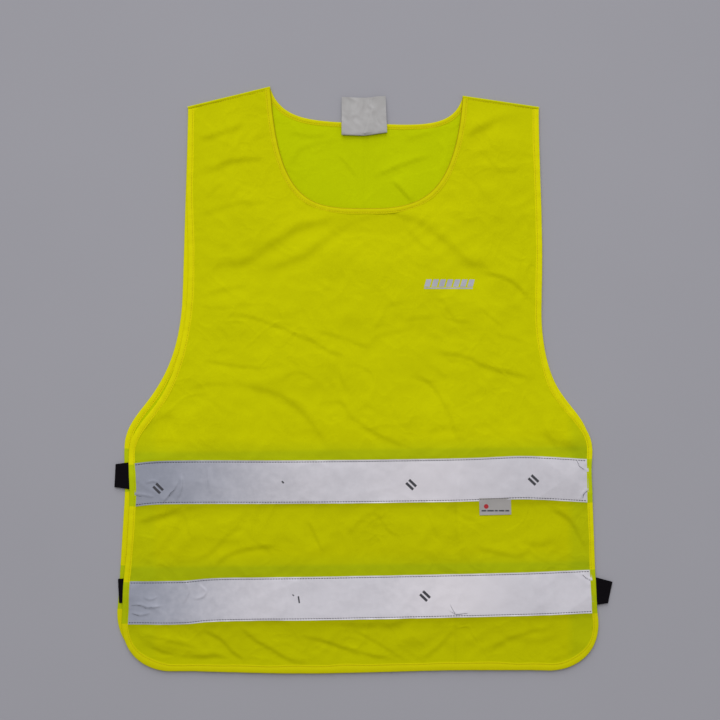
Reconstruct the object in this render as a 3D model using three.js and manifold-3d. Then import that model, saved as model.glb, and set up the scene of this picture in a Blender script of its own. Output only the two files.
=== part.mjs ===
// A high visibility tabard vest, laid flat on a surface with its front up.
// Millimetres. +X is to the viewer's right, +Y runs towards the shoulders, and +Z is up from the surface.
// The origin lies on that surface, under the middle of the vest's outline.
// The vest is two knitted panels joined at the shoulders. Each one has a folded binding round its edge and
// its neckline, and two reflective tapes. Elastic straps join the panels at the sides.

import * as THREE from "three";
import { mergeVertices } from "three/addons/utils/BufferGeometryUtils.js";
import Module from "manifold-3d";

const wasm = await Module();
wasm.setup();

// Thicknesses and the spaces between layers.
const GAP = 0.3;
const PANEL_THICKNESS = 0.8;
const SKIN_THICKNESS = 0.4;
const THREAD_THICKNESS = 0.2;
const THREAD_WIDTH = 0.8;
const BODY_SPACE = 4.8;

// The cut of a panel, as half widths from its centre line and heights along +Y.
const SHOULDER_OUTER = { x: 203, y: 314 };
const ARMHOLE_STRAIGHT_END = { x: 205.5, y: 95 };
const ARMHOLE_BEND_Y = -34.5;
const SIDE_TOP = { x: 266, y: -95 };
const SIDE_BOTTOM_X = 274;
const HEM_Y = -337;
const HEM_CORNER_RADIUS = 58;

// The two ends of the neckline, where the shoulder seams stop.
const LEFT_TIP = { x: -107.5, y: 337 };
const RIGHT_TIP = { x: 114.5, y: 327 };
const SEAM_ROOM = 2;

// Each panel leans a little to one side towards the hem. Below the armholes the back lies a little nearer
// the shoulders than the front does.
const FRONT = {
  name: "front",
  lean: -4,
  rise: 0,
  neck: {
    bottom: { x: 5, y: 197.5 },
    left: [{ x: -98, y: 195 }, { x: -55, y: 197.5 }],
    right: [{ x: 62, y: 197.5 }, { x: 105, y: 205 }],
  },
};
const BACK = {
  name: "back",
  lean: -12,
  rise: 12,
  neck: {
    bottom: { x: 5, y: 296.5 },
    left: [{ x: -95, y: 300 }, { x: -60, y: 298 }],
    right: [{ x: 75, y: 292 }, { x: 104, y: 294 }],
  },
};

// Bindings: a strip folded round the edge.
const BINDING_WALL = 0.5;
const EDGE_BINDING_WIDTH = 8;
const NECK_BINDING_WIDTH = 6.5;
const BINDING_THREAD_INSET = 1.8;

// Reflective tapes.
const TAPE_WIDTH = 50;
const TAPE_THREAD_INSET = 1.2;
const TAPES = [
  { name: "upper", y: -118.5, frontSlope: THREE.MathUtils.degToRad(0.5) },
  { name: "lower", y: -252.5, frontSlope: THREE.MathUtils.degToRad(1.35) },
];

// Elastic side straps. Each is a strip folded once, with both ends sewn between the panels.
const STRAP_WIDTH = 30;
const STRAP_THICKNESS = 0.8;
const STRAPS = [
  { name: "left_upper_strap", y: -111, sewnX: -252, foldX: -287 },
  { name: "left_lower_strap", y: -245, sewnX: -255, foldX: -283 },
  { name: "right_upper_strap", y: -113, sewnX: 250, foldX: 222 },
  { name: "right_lower_strap", y: -244.5, sewnX: 254, foldX: 287 },
];

// Shoulder seams.
const SEAM_WALL = 0.6;
const SEAM_ALLOWANCE = 8;
const SEAM_ALLOWANCE_THICKNESS = 1;

// The care label at the back neck: a sewn end, and a free leaf turned up from the fold at its lower edge.
const CARE_LABEL = { x: 0.5, width: 53, foldY: 282.5, height: 42.5, sewnLength: 8, foldRoom: 0.3 };
const CARE_THREAD_MARGIN = 3;
const CARE_THREAD_OFFSET = 5;

// The small label under the upper front tape.
const TAPE_LABEL = { x: 152, width: 36, height: 14.5, thickness: 0.3, tapeRoom: 0.8 };

// The printed mark on the chest: slanted blocks that stand on a thin bar.
const MARK = { x: 98, y: 104, width: 56, barHeight: 2, blockHeight: 9, blocks: 7, gap: 2, slant: 2.5 };

// Smoothness of the outlines.
const CURVE_STEPS = 14;
const CORNER_STEPS = 10;
const FOLD_STEPS = 6;

// Heights above the surface.
const TRIM_ROOM = SKIN_THICKNESS + GAP;
const THREAD_ROOM = GAP + THREAD_THICKNESS + GAP;
const BACK_LEVELS = levels(0);
const FRONT_LEVELS = levels(BACK_LEVELS.top + BODY_SPACE);

// Places well outside the vest, for shapes that are cut back to a panel's outline.
const PAST_EDGES = 2 * SIDE_BOTTOM_X;
const BELOW_SURFACE = -1;
const ABOVE_VEST = 2 * FRONT_LEVELS.top;

/** The heights of a panel and of the binding that is folded round it. */
function levels(bottom) {
  const panelBottom = bottom + TRIM_ROOM;
  const panelTop = panelBottom + PANEL_THICKNESS;
  return { bottom, panelBottom, panelTop, top: panelTop + TRIM_ROOM };
}

const COLOURS = {
  fabric: { color: 0xc8d400, roughness: 0.85, metalness: 0 },
  binding: { color: 0xd4dc08, roughness: 0.8, metalness: 0 },
  yellowThread: { color: 0xb9c010, roughness: 0.7, metalness: 0 },
  tape: { color: 0xb9b7be, roughness: 0.35, metalness: 0.2 },
  greyThread: { color: 0x84858c, roughness: 0.7, metalness: 0 },
  elastic: { color: 0x0d0c0e, roughness: 0.9, metalness: 0 },
  careLabel: { color: 0xd8d9da, roughness: 0.5, metalness: 0 },
  tapeLabel: { color: 0xa6a3a0, roughness: 0.6, metalness: 0 },
  print: { color: 0xa9abb0, roughness: 0.4, metalness: 0.1 },
};

function vector({ x, y }) {
  return new THREE.Vector2(x, y);
}

// Outlines -----------------------------------------------------------------------------------------------

/** One half of a panel's edge, from the shoulder down the armhole and the side to the middle of the hem. */
function halfEdge(rise) {
  const bendY = ARMHOLE_BEND_Y + rise;
  const cornerX = SIDE_BOTTOM_X - HEM_CORNER_RADIUS;
  const cornerY = HEM_Y + HEM_CORNER_RADIUS + rise;
  const path = new THREE.Path();
  path.moveTo(SHOULDER_OUTER.x, SHOULDER_OUTER.y - SEAM_ROOM);
  path.lineTo(ARMHOLE_STRAIGHT_END.x, ARMHOLE_STRAIGHT_END.y + rise);
  path.bezierCurveTo(ARMHOLE_STRAIGHT_END.x, bendY, SIDE_TOP.x, bendY, SIDE_TOP.x, SIDE_TOP.y + rise);
  path.lineTo(SIDE_BOTTOM_X, cornerY);
  const corner = new THREE.Path();
  corner.absarc(cornerX, cornerY, HEM_CORNER_RADIUS, 0, -Math.PI / 2, true);
  return [...path.getPoints(CURVE_STEPS), ...corner.getPoints(CORNER_STEPS).slice(1)];
}

/** A panel's edge from the left shoulder round the hem to the right shoulder. */
function edgeLine({ lean, rise }) {
  const right = halfEdge(rise);
  const left = right.map((p) => new THREE.Vector2(-p.x, p.y));
  const leanAt = (y) => (lean * (SHOULDER_OUTER.y - y)) / (SHOULDER_OUTER.y - HEM_Y);
  return [...left, ...right.reverse()].map((p) => new THREE.Vector2(p.x + leanAt(p.y), p.y));
}

/** A panel's neckline from the right tip to the left tip. */
function neckLine({ neck }) {
  const start = { x: RIGHT_TIP.x, y: RIGHT_TIP.y - SEAM_ROOM };
  const end = { x: LEFT_TIP.x, y: LEFT_TIP.y - SEAM_ROOM };
  const right = new THREE.CubicBezierCurve(
    vector(start), vector(neck.right[1]), vector(neck.right[0]), vector(neck.bottom));
  const left = new THREE.CubicBezierCurve(
    vector(neck.bottom), vector(neck.left[1]), vector(neck.left[0]), vector(end));
  return [...right.getPoints(CURVE_STEPS), ...left.getPoints(CURVE_STEPS).slice(1)];
}

/** The direction square to an open line at each of its points, pointing to the left of its travel. */
function leftNormals(line) {
  return line.map((_, i) => {
    const before = line[Math.max(i - 1, 0)];
    const after = line[Math.min(i + 1, line.length - 1)];
    const along = after.clone().sub(before).normalize();
    return new THREE.Vector2(-along.y, along.x);
  });
}

/** An open line moved to the left of its travel, which is into the fabric on every line here. */
function inset(line, distance) {
  const normals = leftNormals(line);
  return line.map((p, i) => p.clone().addScaledVector(normals[i], distance));
}

/** A panel's outline, with its edge and neckline drawn in by the given distances. */
function panelShape(panel, edgeInset, neckInset) {
  return new THREE.Shape([...inset(edgeLine(panel), edgeInset), ...inset(neckLine(panel), neckInset)]);
}

// Solids -------------------------------------------------------------------------------------------------

/** A flat plate of the given outline between two heights. */
function plate(shape, bottom, top) {
  const geometry = new THREE.ExtrudeGeometry(shape, { depth: top - bottom, bevelEnabled: false });
  return geometry.translate(0, 0, bottom);
}

/** A closed body swept along an open line. The section's points are (distance inwards, height). */
function sweep(line, section) {
  const normals = leftNormals(line);
  const count = section.length;
  const positions = line.flatMap((p, i) =>
    section.flatMap(([inwards, height]) => {
      const at = p.clone().addScaledVector(normals[i], inwards);
      return [at.x, at.y, height];
    }));
  const indices = [];
  for (let ring = 0; ring < line.length - 1; ring += 1) {
    for (let k = 0; k < count; k += 1) {
      const a = ring * count + k;
      const b = ring * count + ((k + 1) % count);
      indices.push(a, b, b + count, a, b + count, a + count);
    }
  }
  const last = (line.length - 1) * count;
  const contour = section.map(([inwards, height]) => new THREE.Vector2(inwards, height));
  for (const [a, b, c] of THREE.ShapeUtils.triangulateShape(contour, [])) {
    indices.push(c, b, a, last + a, last + b, last + c);
  }
  const geometry = new THREE.BufferGeometry();
  geometry.setAttribute("position", new THREE.Float32BufferAttribute(positions, 3));
  geometry.setIndex(indices);
  return geometry;
}

function rectangleSection(from, to, bottom, top) {
  return [[from, bottom], [to, bottom], [to, top], [from, top]];
}

/** A closed geometry as a solid that can be cut. */
function toSolid(geometry) {
  const plain = geometry.clone();
  plain.deleteAttribute("normal");
  plain.deleteAttribute("uv");
  const merged = mergeVertices(plain);
  return new wasm.Manifold(new wasm.Mesh({
    numProp: 3,
    vertProperties: Float32Array.from(merged.attributes.position.array),
    triVerts: Uint32Array.from(merged.index.array),
  }));
}

/** The part of one closed geometry that lies inside another. */
function within(geometry, limits) {
  const mesh = toSolid(geometry).intersect(toSolid(limits)).getMesh();
  const cut = new THREE.BufferGeometry();
  cut.setAttribute("position", new THREE.Float32BufferAttribute(mesh.vertProperties, 3));
  cut.setIndex([...mesh.triVerts]);
  return cut;
}

// Sub-parts ----------------------------------------------------------------------------------------------

const vest = new THREE.Group();

function addPiece(name, geometry, look) {
  geometry.computeVertexNormals();
  const mesh = new THREE.Mesh(geometry, new THREE.MeshStandardMaterial(look));
  mesh.name = name;
  vest.add(mesh);
  return mesh;
}

function addPanel(panel, heights) {
  const room = BINDING_WALL + GAP;
  addPiece(
    `${panel.name}_panel`,
    plate(panelShape(panel, room, room), heights.panelBottom, heights.panelTop),
    COLOURS.fabric);
}

/** A strip folded round an edge: two legs and the wall that joins them outside the fabric. */
function foldedSection(width, heights) {
  return [
    [0, heights.bottom],
    [width, heights.bottom],
    [width, heights.bottom + SKIN_THICKNESS],
    [BINDING_WALL, heights.bottom + SKIN_THICKNESS],
    [BINDING_WALL, heights.top - SKIN_THICKNESS],
    [width, heights.top - SKIN_THICKNESS],
    [width, heights.top],
    [0, heights.top],
  ];
}

/** A binding and the thread that runs near its inner edge, on the side that faces up. */
function addBinding(name, line, width, heights) {
  addPiece(`${name}_binding`, sweep(line, foldedSection(width, heights)), COLOURS.binding);
  const threadTo = width - BINDING_THREAD_INSET;
  const threadBottom = heights.top + GAP;
  const threadSection = rectangleSection(
    threadTo - THREAD_WIDTH, threadTo, threadBottom, threadBottom + THREAD_THICKNESS);
  addPiece(`${name}_thread`, sweep(line, threadSection), COLOURS.yellowThread);
}

function addBindings(panel, heights) {
  addBinding(`${panel.name}_edge`, edgeLine(panel), EDGE_BINDING_WIDTH, heights);
  addBinding(`${panel.name}_neck`, neckLine(panel), NECK_BINDING_WIDTH, heights);
}

/** A long level strip across the panel, turned by the slope about the middle of its tape. */
function crossStrip({ middleY, slope, fromY, toY, bottom, top }) {
  const strip = plate(
    new THREE.Shape([
      new THREE.Vector2(-PAST_EDGES, fromY),
      new THREE.Vector2(PAST_EDGES, fromY),
      new THREE.Vector2(PAST_EDGES, toY),
      new THREE.Vector2(-PAST_EDGES, toY),
    ]),
    bottom,
    top);
  return strip.rotateZ(slope).translate(0, middleY, 0);
}

/** A reflective tape from one edge binding to the other, with a thread along each of its long edges. */
function addTape(panel, tape, slope, tapeBottom, threadBottom) {
  const middleY = tape.y + panel.rise;
  const room = EDGE_BINDING_WIDTH + GAP;
  const limits = plate(panelShape(panel, room, room), BELOW_SURFACE, ABOVE_VEST);
  const half = TAPE_WIDTH / 2;
  const name = `${panel.name}_${tape.name}_tape`;
  const body = crossStrip({
    middleY, slope, fromY: -half, toY: half, bottom: tapeBottom, top: tapeBottom + SKIN_THICKNESS,
  });
  addPiece(name, within(body, limits), COLOURS.tape);
  const threadY = half - TAPE_THREAD_INSET;
  for (const [edge, fromY] of [["top", threadY - THREAD_WIDTH], ["bottom", -threadY]]) {
    const thread = crossStrip({
      middleY,
      slope,
      fromY,
      toY: fromY + THREAD_WIDTH,
      bottom: threadBottom,
      top: threadBottom + THREAD_THICKNESS,
    });
    addPiece(`${name}_${edge}_thread`, within(thread, limits), COLOURS.greyThread);
  }
}

function addTapes() {
  for (const tape of TAPES) {
    const backThread = BACK_LEVELS.panelTop + GAP;
    addTape(FRONT, tape, tape.frontSlope, FRONT_LEVELS.panelTop + GAP, FRONT_LEVELS.top + GAP);
    addTape(BACK, tape, 0, BACK_LEVELS.bottom, backThread);
  }
}

/** A strap's section across the vest: two leaves joined by a round fold that points away from the seam. */
function strapShape(sewnX, foldX) {
  const outward = Math.sign(foldX - sewnX);
  const bottom = BACK_LEVELS.top + THREAD_ROOM;
  const top = FRONT_LEVELS.bottom - GAP;
  const outerRadius = (top - bottom) / 2;
  const innerRadius = outerRadius - STRAP_THICKNESS;
  const centre = { x: foldX - outward * outerRadius, z: (top + bottom) / 2 };
  const arc = (radius, from, to) =>
    Array.from({ length: FOLD_STEPS + 1 }, (_, i) => {
      const angle = THREE.MathUtils.lerp(from, to, i / FOLD_STEPS);
      return new THREE.Vector2(
        centre.x + outward * radius * Math.cos(angle), centre.z + radius * Math.sin(angle));
    });
  return new THREE.Shape([
    new THREE.Vector2(sewnX, bottom),
    ...arc(outerRadius, -Math.PI / 2, Math.PI / 2),
    new THREE.Vector2(sewnX, top),
    new THREE.Vector2(sewnX, top - STRAP_THICKNESS),
    ...arc(innerRadius, Math.PI / 2, -Math.PI / 2),
    new THREE.Vector2(sewnX, bottom + STRAP_THICKNESS),
  ]);
}

function addStraps() {
  for (const strap of STRAPS) {
    const geometry = new THREE.ExtrudeGeometry(
      strapShape(strap.sewnX, strap.foldX), { depth: STRAP_WIDTH, bevelEnabled: false });
    geometry.rotateX(Math.PI / 2);
    geometry.translate(0, strap.y + STRAP_WIDTH / 2, 0);
    addPiece(strap.name, geometry, COLOURS.elastic);
  }
}

/** A shoulder seam: the fabric that turns over the shoulder, and its allowance between the panels. */
function addShoulderSeam(name, from, to) {
  const allowanceBottom = (BACK_LEVELS.top + FRONT_LEVELS.bottom - SEAM_ALLOWANCE_THICKNESS) / 2;
  const allowanceTop = allowanceBottom + SEAM_ALLOWANCE_THICKNESS;
  const section = [
    [0, BACK_LEVELS.panelBottom],
    [SEAM_WALL, BACK_LEVELS.panelBottom],
    [SEAM_WALL, allowanceBottom],
    [SEAM_ALLOWANCE, allowanceBottom],
    [SEAM_ALLOWANCE, allowanceTop],
    [SEAM_WALL, allowanceTop],
    [SEAM_WALL, FRONT_LEVELS.panelTop],
    [0, FRONT_LEVELS.panelTop],
  ];
  addPiece(name, sweep([vector(from), vector(to)], section), COLOURS.fabric);
}

function addShoulderSeams() {
  addShoulderSeam("left_shoulder_seam", LEFT_TIP, { x: -SHOULDER_OUTER.x, y: SHOULDER_OUTER.y });
  addShoulderSeam("right_shoulder_seam", SHOULDER_OUTER, RIGHT_TIP);
}

function rectangle(fromX, toX, fromY, toY) {
  return new THREE.Shape([
    new THREE.Vector2(fromX, fromY),
    new THREE.Vector2(toX, fromY),
    new THREE.Vector2(toX, toY),
    new THREE.Vector2(fromX, toY),
  ]);
}

function addCareLabel() {
  const fromX = CARE_LABEL.x - CARE_LABEL.width / 2;
  const toX = CARE_LABEL.x + CARE_LABEL.width / 2;
  const nearY = CARE_LABEL.foldY + CARE_LABEL.foldRoom;
  const sewnBottom = BACK_LEVELS.top + THREAD_ROOM;
  const sewnTop = sewnBottom + SKIN_THICKNESS;
  const threadBottom = sewnTop + GAP;
  const leafBottom = sewnTop + THREAD_ROOM;
  addPiece(
    "care_label_sewn_end",
    plate(rectangle(fromX, toX, nearY, nearY + CARE_LABEL.sewnLength), sewnBottom, sewnTop),
    COLOURS.careLabel);
  const threadY = nearY + CARE_THREAD_OFFSET;
  addPiece(
    "care_label_thread",
    plate(
      rectangle(fromX + CARE_THREAD_MARGIN, toX - CARE_THREAD_MARGIN, threadY, threadY + THREAD_WIDTH),
      threadBottom,
      threadBottom + THREAD_THICKNESS),
    COLOURS.greyThread);
  addPiece(
    "care_label",
    plate(rectangle(fromX, toX, nearY, CARE_LABEL.foldY + CARE_LABEL.height), leafBottom,
      leafBottom + SKIN_THICKNESS),
    COLOURS.careLabel);
}

/** The lower edge of the upper front tape at a distance along the tape. */
function upperTapeLowerEdge(x) {
  const [upper] = TAPES;
  return upper.y + (x * Math.sin(upper.frontSlope)) - TAPE_WIDTH / 2;
}

function addTapeLabel() {
  const half = TAPE_LABEL.width / 2;
  const topY = upperTapeLowerEdge(TAPE_LABEL.x - half) - TAPE_LABEL.tapeRoom;
  const bottom = FRONT_LEVELS.panelTop + GAP;
  addPiece(
    "tape_label",
    plate(
      rectangle(TAPE_LABEL.x - half, TAPE_LABEL.x + half, topY - TAPE_LABEL.height, topY),
      bottom,
      bottom + TAPE_LABEL.thickness),
    COLOURS.tapeLabel);
}

function addChestMark() {
  const pitch = (MARK.width + MARK.gap) / MARK.blocks;
  const left = MARK.x - MARK.width / 2;
  const barTop = MARK.y + MARK.barHeight;
  const outline = [new THREE.Vector2(left, MARK.y), new THREE.Vector2(left + MARK.width, MARK.y)];
  for (let block = MARK.blocks - 1; block >= 0; block -= 1) {
    const from = left + block * pitch;
    const to = from + pitch - MARK.gap;
    outline.push(
      new THREE.Vector2(to, barTop),
      new THREE.Vector2(to + MARK.slant, barTop + MARK.blockHeight),
      new THREE.Vector2(from + MARK.slant, barTop + MARK.blockHeight),
      new THREE.Vector2(from, barTop));
  }
  const bottom = FRONT_LEVELS.panelTop + GAP;
  addPiece("chest_mark", plate(new THREE.Shape(outline), bottom, bottom + THREAD_THICKNESS), COLOURS.print);
}

addPanel(BACK, BACK_LEVELS);
addPanel(FRONT, FRONT_LEVELS);
addBindings(BACK, BACK_LEVELS);
addBindings(FRONT, FRONT_LEVELS);
addTapes();
addStraps();
addShoulderSeams();
addCareLabel();
addTapeLabel();
addChestMark();

export default vest;
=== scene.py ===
import math

import bpy
import numpy as np
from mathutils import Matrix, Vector
from mathutils.geometry import delaunay_2d_cdt
from mathutils.kdtree import KDTree


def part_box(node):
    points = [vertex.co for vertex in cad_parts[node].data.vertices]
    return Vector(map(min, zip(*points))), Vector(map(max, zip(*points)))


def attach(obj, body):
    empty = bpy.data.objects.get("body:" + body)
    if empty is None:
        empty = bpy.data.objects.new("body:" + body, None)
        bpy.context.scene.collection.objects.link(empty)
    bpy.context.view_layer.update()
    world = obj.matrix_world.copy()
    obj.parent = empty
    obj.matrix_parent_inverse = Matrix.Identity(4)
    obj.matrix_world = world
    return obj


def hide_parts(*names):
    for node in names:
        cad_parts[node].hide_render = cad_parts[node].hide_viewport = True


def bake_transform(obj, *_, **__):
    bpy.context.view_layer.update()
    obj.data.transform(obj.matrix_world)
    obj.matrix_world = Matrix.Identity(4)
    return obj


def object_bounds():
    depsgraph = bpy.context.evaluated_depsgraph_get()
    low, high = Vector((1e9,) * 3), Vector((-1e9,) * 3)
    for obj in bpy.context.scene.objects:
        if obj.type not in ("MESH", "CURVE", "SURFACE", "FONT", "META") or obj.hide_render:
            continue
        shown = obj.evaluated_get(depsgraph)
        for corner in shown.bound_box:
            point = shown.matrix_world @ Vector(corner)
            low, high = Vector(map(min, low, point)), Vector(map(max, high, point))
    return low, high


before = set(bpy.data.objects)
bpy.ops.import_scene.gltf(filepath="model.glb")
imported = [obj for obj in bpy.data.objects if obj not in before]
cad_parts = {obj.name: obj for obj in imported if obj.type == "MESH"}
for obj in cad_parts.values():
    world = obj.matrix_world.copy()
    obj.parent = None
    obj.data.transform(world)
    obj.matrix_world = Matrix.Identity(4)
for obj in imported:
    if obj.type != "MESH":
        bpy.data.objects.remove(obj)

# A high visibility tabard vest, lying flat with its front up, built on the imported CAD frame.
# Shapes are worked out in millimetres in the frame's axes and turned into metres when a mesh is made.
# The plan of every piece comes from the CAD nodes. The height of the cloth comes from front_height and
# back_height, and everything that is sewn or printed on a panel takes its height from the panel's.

MM = 0.001
CAD_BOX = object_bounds()

# Fineness of the meshes, in mm.
PANEL_STEP = 2.5
LINE_STEP = 2.5
FRONT_TAPE_STEP = 1.1
BACK_TAPE_STEP = 2.5

# Cloth and trim thicknesses, in mm.
CLOTH = 0.45
TAPE_THICKNESS = 0.2
TAPE_LIFT = 0.32
STRAP_THICKNESS = 0.8
BINDING_HALF = 0.85

# How high the middle of the cloth lies above the floor, in mm.
BACK_REST = 1.05
FRONT_EDGE_REST = 3.0
FRONT_MIDDLE_REST = 6.2
FRONT_LOWEST = 2.75
SHOULDER_REST = 2.9
# How the front rises from its edges, and how its edges pucker, in mm.
STRAP_ROOM = 2.1
EDGE_SLOPE_LENGTH = 70.0
SHOULDER_SLOPE_LENGTH = 45.0
PUCKER_HEIGHT = 0.09
PUCKER_REACH = 6.0

# How far inside its finished edge a panel is cut, in mm.
CUT_INSET = 1.0

# Widths of the bindings and the inset of their stitching, in mm.
EDGE_BINDING = 7.6
HEM_BINDING = 9.6
NECK_BINDING = {"front": 6.8, "back": 6.0}
RIGHT_SIDE_BINDING = 6.3
BINDING_STITCH_INSET = 1.7

# How far inside the panel's edge a tape ends, its hidden length at each end and its stitching's inset, in mm.
TAPE_END_INSET = 3.0
TAPE_TUCK = 5.0
TAPE_STITCH_INSET = 1.9

# Stitches of the bindings, of the tapes, and of the tapes on the panel's inside, in mm.
STITCH_PITCH = 2.9
STITCH_LENGTH = 2.4
STITCH_WIDTH = 0.5
TAPE_STITCH = {"pitch": 3.1, "length": 2.5, "width": 0.85}
INSIDE_STITCH = {"pitch": 3.1, "length": 2.7, "width": 0.5}

# Two distances below the shoulder tips, in mm, which fasten passes on to bake_transform, which does not use
# them.
BEND_FROM = 30.0
BEND_TO = 118.0

STRAPS = [f"{side}_{level}_strap" for side in ("left", "right") for level in ("upper", "lower")]


# ------------------------------------------------------------
# Lines and outlines

# How far upwards a face has to point to belong to the top of a plate.
FACES_UP = 0.9
# The lengths that straight stretches are cut into before a line is smoothed: short, or never cut, in mm.
STRETCH = 14.0
WHOLE = 1000.0
# How far apart a smoothed route's points are, in mm.
ROUTE_STEP = 4.0


def box_mm(node):
    """The lowest and the highest corner of a CAD node, in mm."""
    return [np.array(corner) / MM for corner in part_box(node)]


def node_outline(node):
    """The outline of a flat CAD plate seen from above, anticlockwise, as points in mm."""
    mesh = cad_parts[node].data
    points = [tuple(round(c / MM, 3) for c in v.co[:2]) for v in mesh.vertices]
    edges = set()
    for face in mesh.polygons:
        if face.normal.z > FACES_UP:
            corners = [points[i] for i in face.vertices]
            edges.update(zip(corners, corners[1:] + corners[:1]))
    following = {a: b for a, b in edges if (b, a) not in edges}
    start = min(following)
    outline = [start]
    while following[outline[-1]] != start:
        outline.append(following[outline[-1]])
    return np.array(outline)


def nearest_index(points, target):
    return int(np.argmin(np.linalg.norm(points - np.array(target), axis=1)))


def stretch_between(outline, start, end):
    """The part of a closed outline from one point to another, both included."""
    first = nearest_index(outline, start)
    turned = np.roll(outline, -first, axis=0)
    return turned[: nearest_index(turned, end) + 1]


def lengths_along(points):
    steps = np.linalg.norm(np.diff(points, axis=0), axis=1)
    return np.concatenate([[0.0], np.cumsum(steps)])


def evenly(points, step):
    """An open line with its points a step apart."""
    at = lengths_along(points)
    count = max(2, int(round(at[-1] / step)) + 1)
    wanted = np.linspace(0, at[-1], count)
    return np.stack([np.interp(wanted, at, points[:, k]) for k in range(points.shape[1])], axis=1)


def smooth_line(points, step, stretch=STRETCH):
    """A smooth open line through the given points, with its points a step apart."""
    points = np.asarray(points, float)
    kept = [points[0]]
    for a, b in zip(points, points[1:]):
        pieces = max(1, int(np.linalg.norm(b - a) / stretch))
        kept += [a + (b - a) * k / pieces for k in range(1, pieces + 1)]
    p = np.array(kept)
    p = np.concatenate([[2 * p[0] - p[1]], p, [2 * p[-1] - p[-2]]])
    t = np.linspace(0, 1, 9)[:-1, None]
    parts = []
    for a, b, c, d in zip(p, p[1:], p[2:], p[3:]):
        parts.append(0.5 * (2 * b + (c - a) * t + (2 * a - 5 * b + 4 * c - d) * t**2
                            + (3 * b - a - 3 * c + d) * t**3))
    return evenly(np.concatenate(parts + [p[-2:-1]]), step)


def left_normals(line):
    """Unit vectors to the left of a line's travel. Every line here has the cloth on its left."""
    along = np.gradient(line, axis=0)
    along /= np.linalg.norm(along, axis=1, keepdims=True)
    return np.stack([-along[:, 1], along[:, 0]], axis=1)


def shifted(line, distance):
    """An open line moved to its left by a distance, or by one distance for each of its points."""
    return line + left_normals(line) * np.reshape(distance, (-1, 1))


def smoothstep(x):
    x = np.clip(x, 0, 1)
    return x * x * (3 - 2 * x)


def between(first, second, share):
    """The first value where the share is 0, and the second where it is 1."""
    return first + (second - first) * share


def nearest_on(points, line):
    """Each point's distance to the nearest point of a line, and how far along the line that point lies."""
    tree = KDTree(len(line))
    for i, p in enumerate(line):
        tree.insert((p[0], p[1], 0), i)
    tree.balance()
    found = [tree.find((x, y, 0))[1:] for x, y in points]
    index, distance = (np.array(values) for values in zip(*found))
    return distance, lengths_along(line)[index]


def distance_to(points, line):
    return nearest_on(points, line)[0]


# Where the vest's edges happen to lie pulled aside: place, reach and shift, in mm.
BOTH_PULLS = [
    ((-70, -337), 200, (0.0, -3.8)),
    ((-262, -318), 75, (-3.2, -2.2)),
    ((258, -320), 75, (3.6, -1.6)),
    ((-270, -76), 65, (-4.0, 0.6)),
    ((264, -66), 45, (3.4, 0.8)),
    ((226, -12), 40, (-2.2, 0.0)),
    ((204, 150), 150, (3.0, 0.0)),
    ((-150, 326), 90, (0.0, 1.4)),
]
FRONT_PULLS = [((-206, 125), 105, (3.4, 0.0)), ((-276, -244), 64, (-2.0, 0.0))]
LAY_PULLS = {"front": BOTH_PULLS + FRONT_PULLS, "back": BOTH_PULLS}


def laid(line, pulls):
    """A line in plan, moved by the pulls near it."""
    moved = line.copy()
    for place, reach, shift in pulls:
        apart = np.linalg.norm(line - np.array(place), axis=1)
        moved += smoothstep(1 - apart / reach)[:, None] * np.array(shift)
    return moved


class Panel:
    """The cut of one panel: its finished edge from shoulder to shoulder, its neckline and its shoulders."""

    def __init__(self, name):
        outline = node_outline(f"{name}_panel")
        left_low, left_high = box_mm("left_shoulder_seam")
        right_low, right_high = box_mm("right_shoulder_seam")
        room = box_mm(f"{name}_panel")[0][0] - box_mm(f"{name}_edge_binding")[0][0]
        left_outer, left_tip = (left_low[0], left_low[1]), (left_high[0], left_high[1])
        right_tip, right_outer = (right_low[0], right_high[1]), (right_high[0], right_low[1])
        self.name = name
        edge = shifted(smooth_line(stretch_between(outline, left_outer, right_outer), LINE_STEP), -room)
        neck = shifted(smooth_line(stretch_between(outline, right_tip, left_tip), LINE_STEP), -room)
        self.edge = laid(edge, LAY_PULLS[name])
        self.neck = laid(neck, LAY_PULLS[name])
        self.right_shoulder = evenly(np.array([self.edge[-1], self.neck[0]]), LINE_STEP)
        self.left_shoulder = evenly(np.array([self.neck[-1], self.edge[0]]), LINE_STEP)
        self.shoulders = np.concatenate([self.right_shoulder, self.left_shoulder])
        self.hem_y = self.edge[:, 1].min()

    def outline(self, inset):
        """The cut edge, drawn in from the finished edge and neckline by a distance."""
        edge, neck = (shifted(line, inset) for line in (self.edge, self.neck))
        right = evenly(np.array([edge[-1], neck[0]]), LINE_STEP)[1:-1]
        left = evenly(np.array([neck[-1], edge[0]]), LINE_STEP)[1:-1]
        return np.concatenate([edge, right, neck, left])


FRONT = Panel("front")
BACK = Panel("back")
TIP_Y = max(FRONT.neck[:, 1].max(), BACK.neck[:, 1].max())


# ------------------------------------------------------------
# Heights of the cloth

# A fold's profile: how sharply narrow and broad folds turn at their line (by half width in mm), how fast
# a fold dies away across it, and its fullness.
FOLD_WIDTHS = (4, 8)
FOLD_CRISPNESS = (1.9, 1.2)
FOLD_FALL = 1.25
FOLD_FULLNESS = 1.75
# A fold's reach in half widths, and the share of its length over which each end fades.
FOLD_REACH = 4
FOLD_FADE = 0.25
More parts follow.
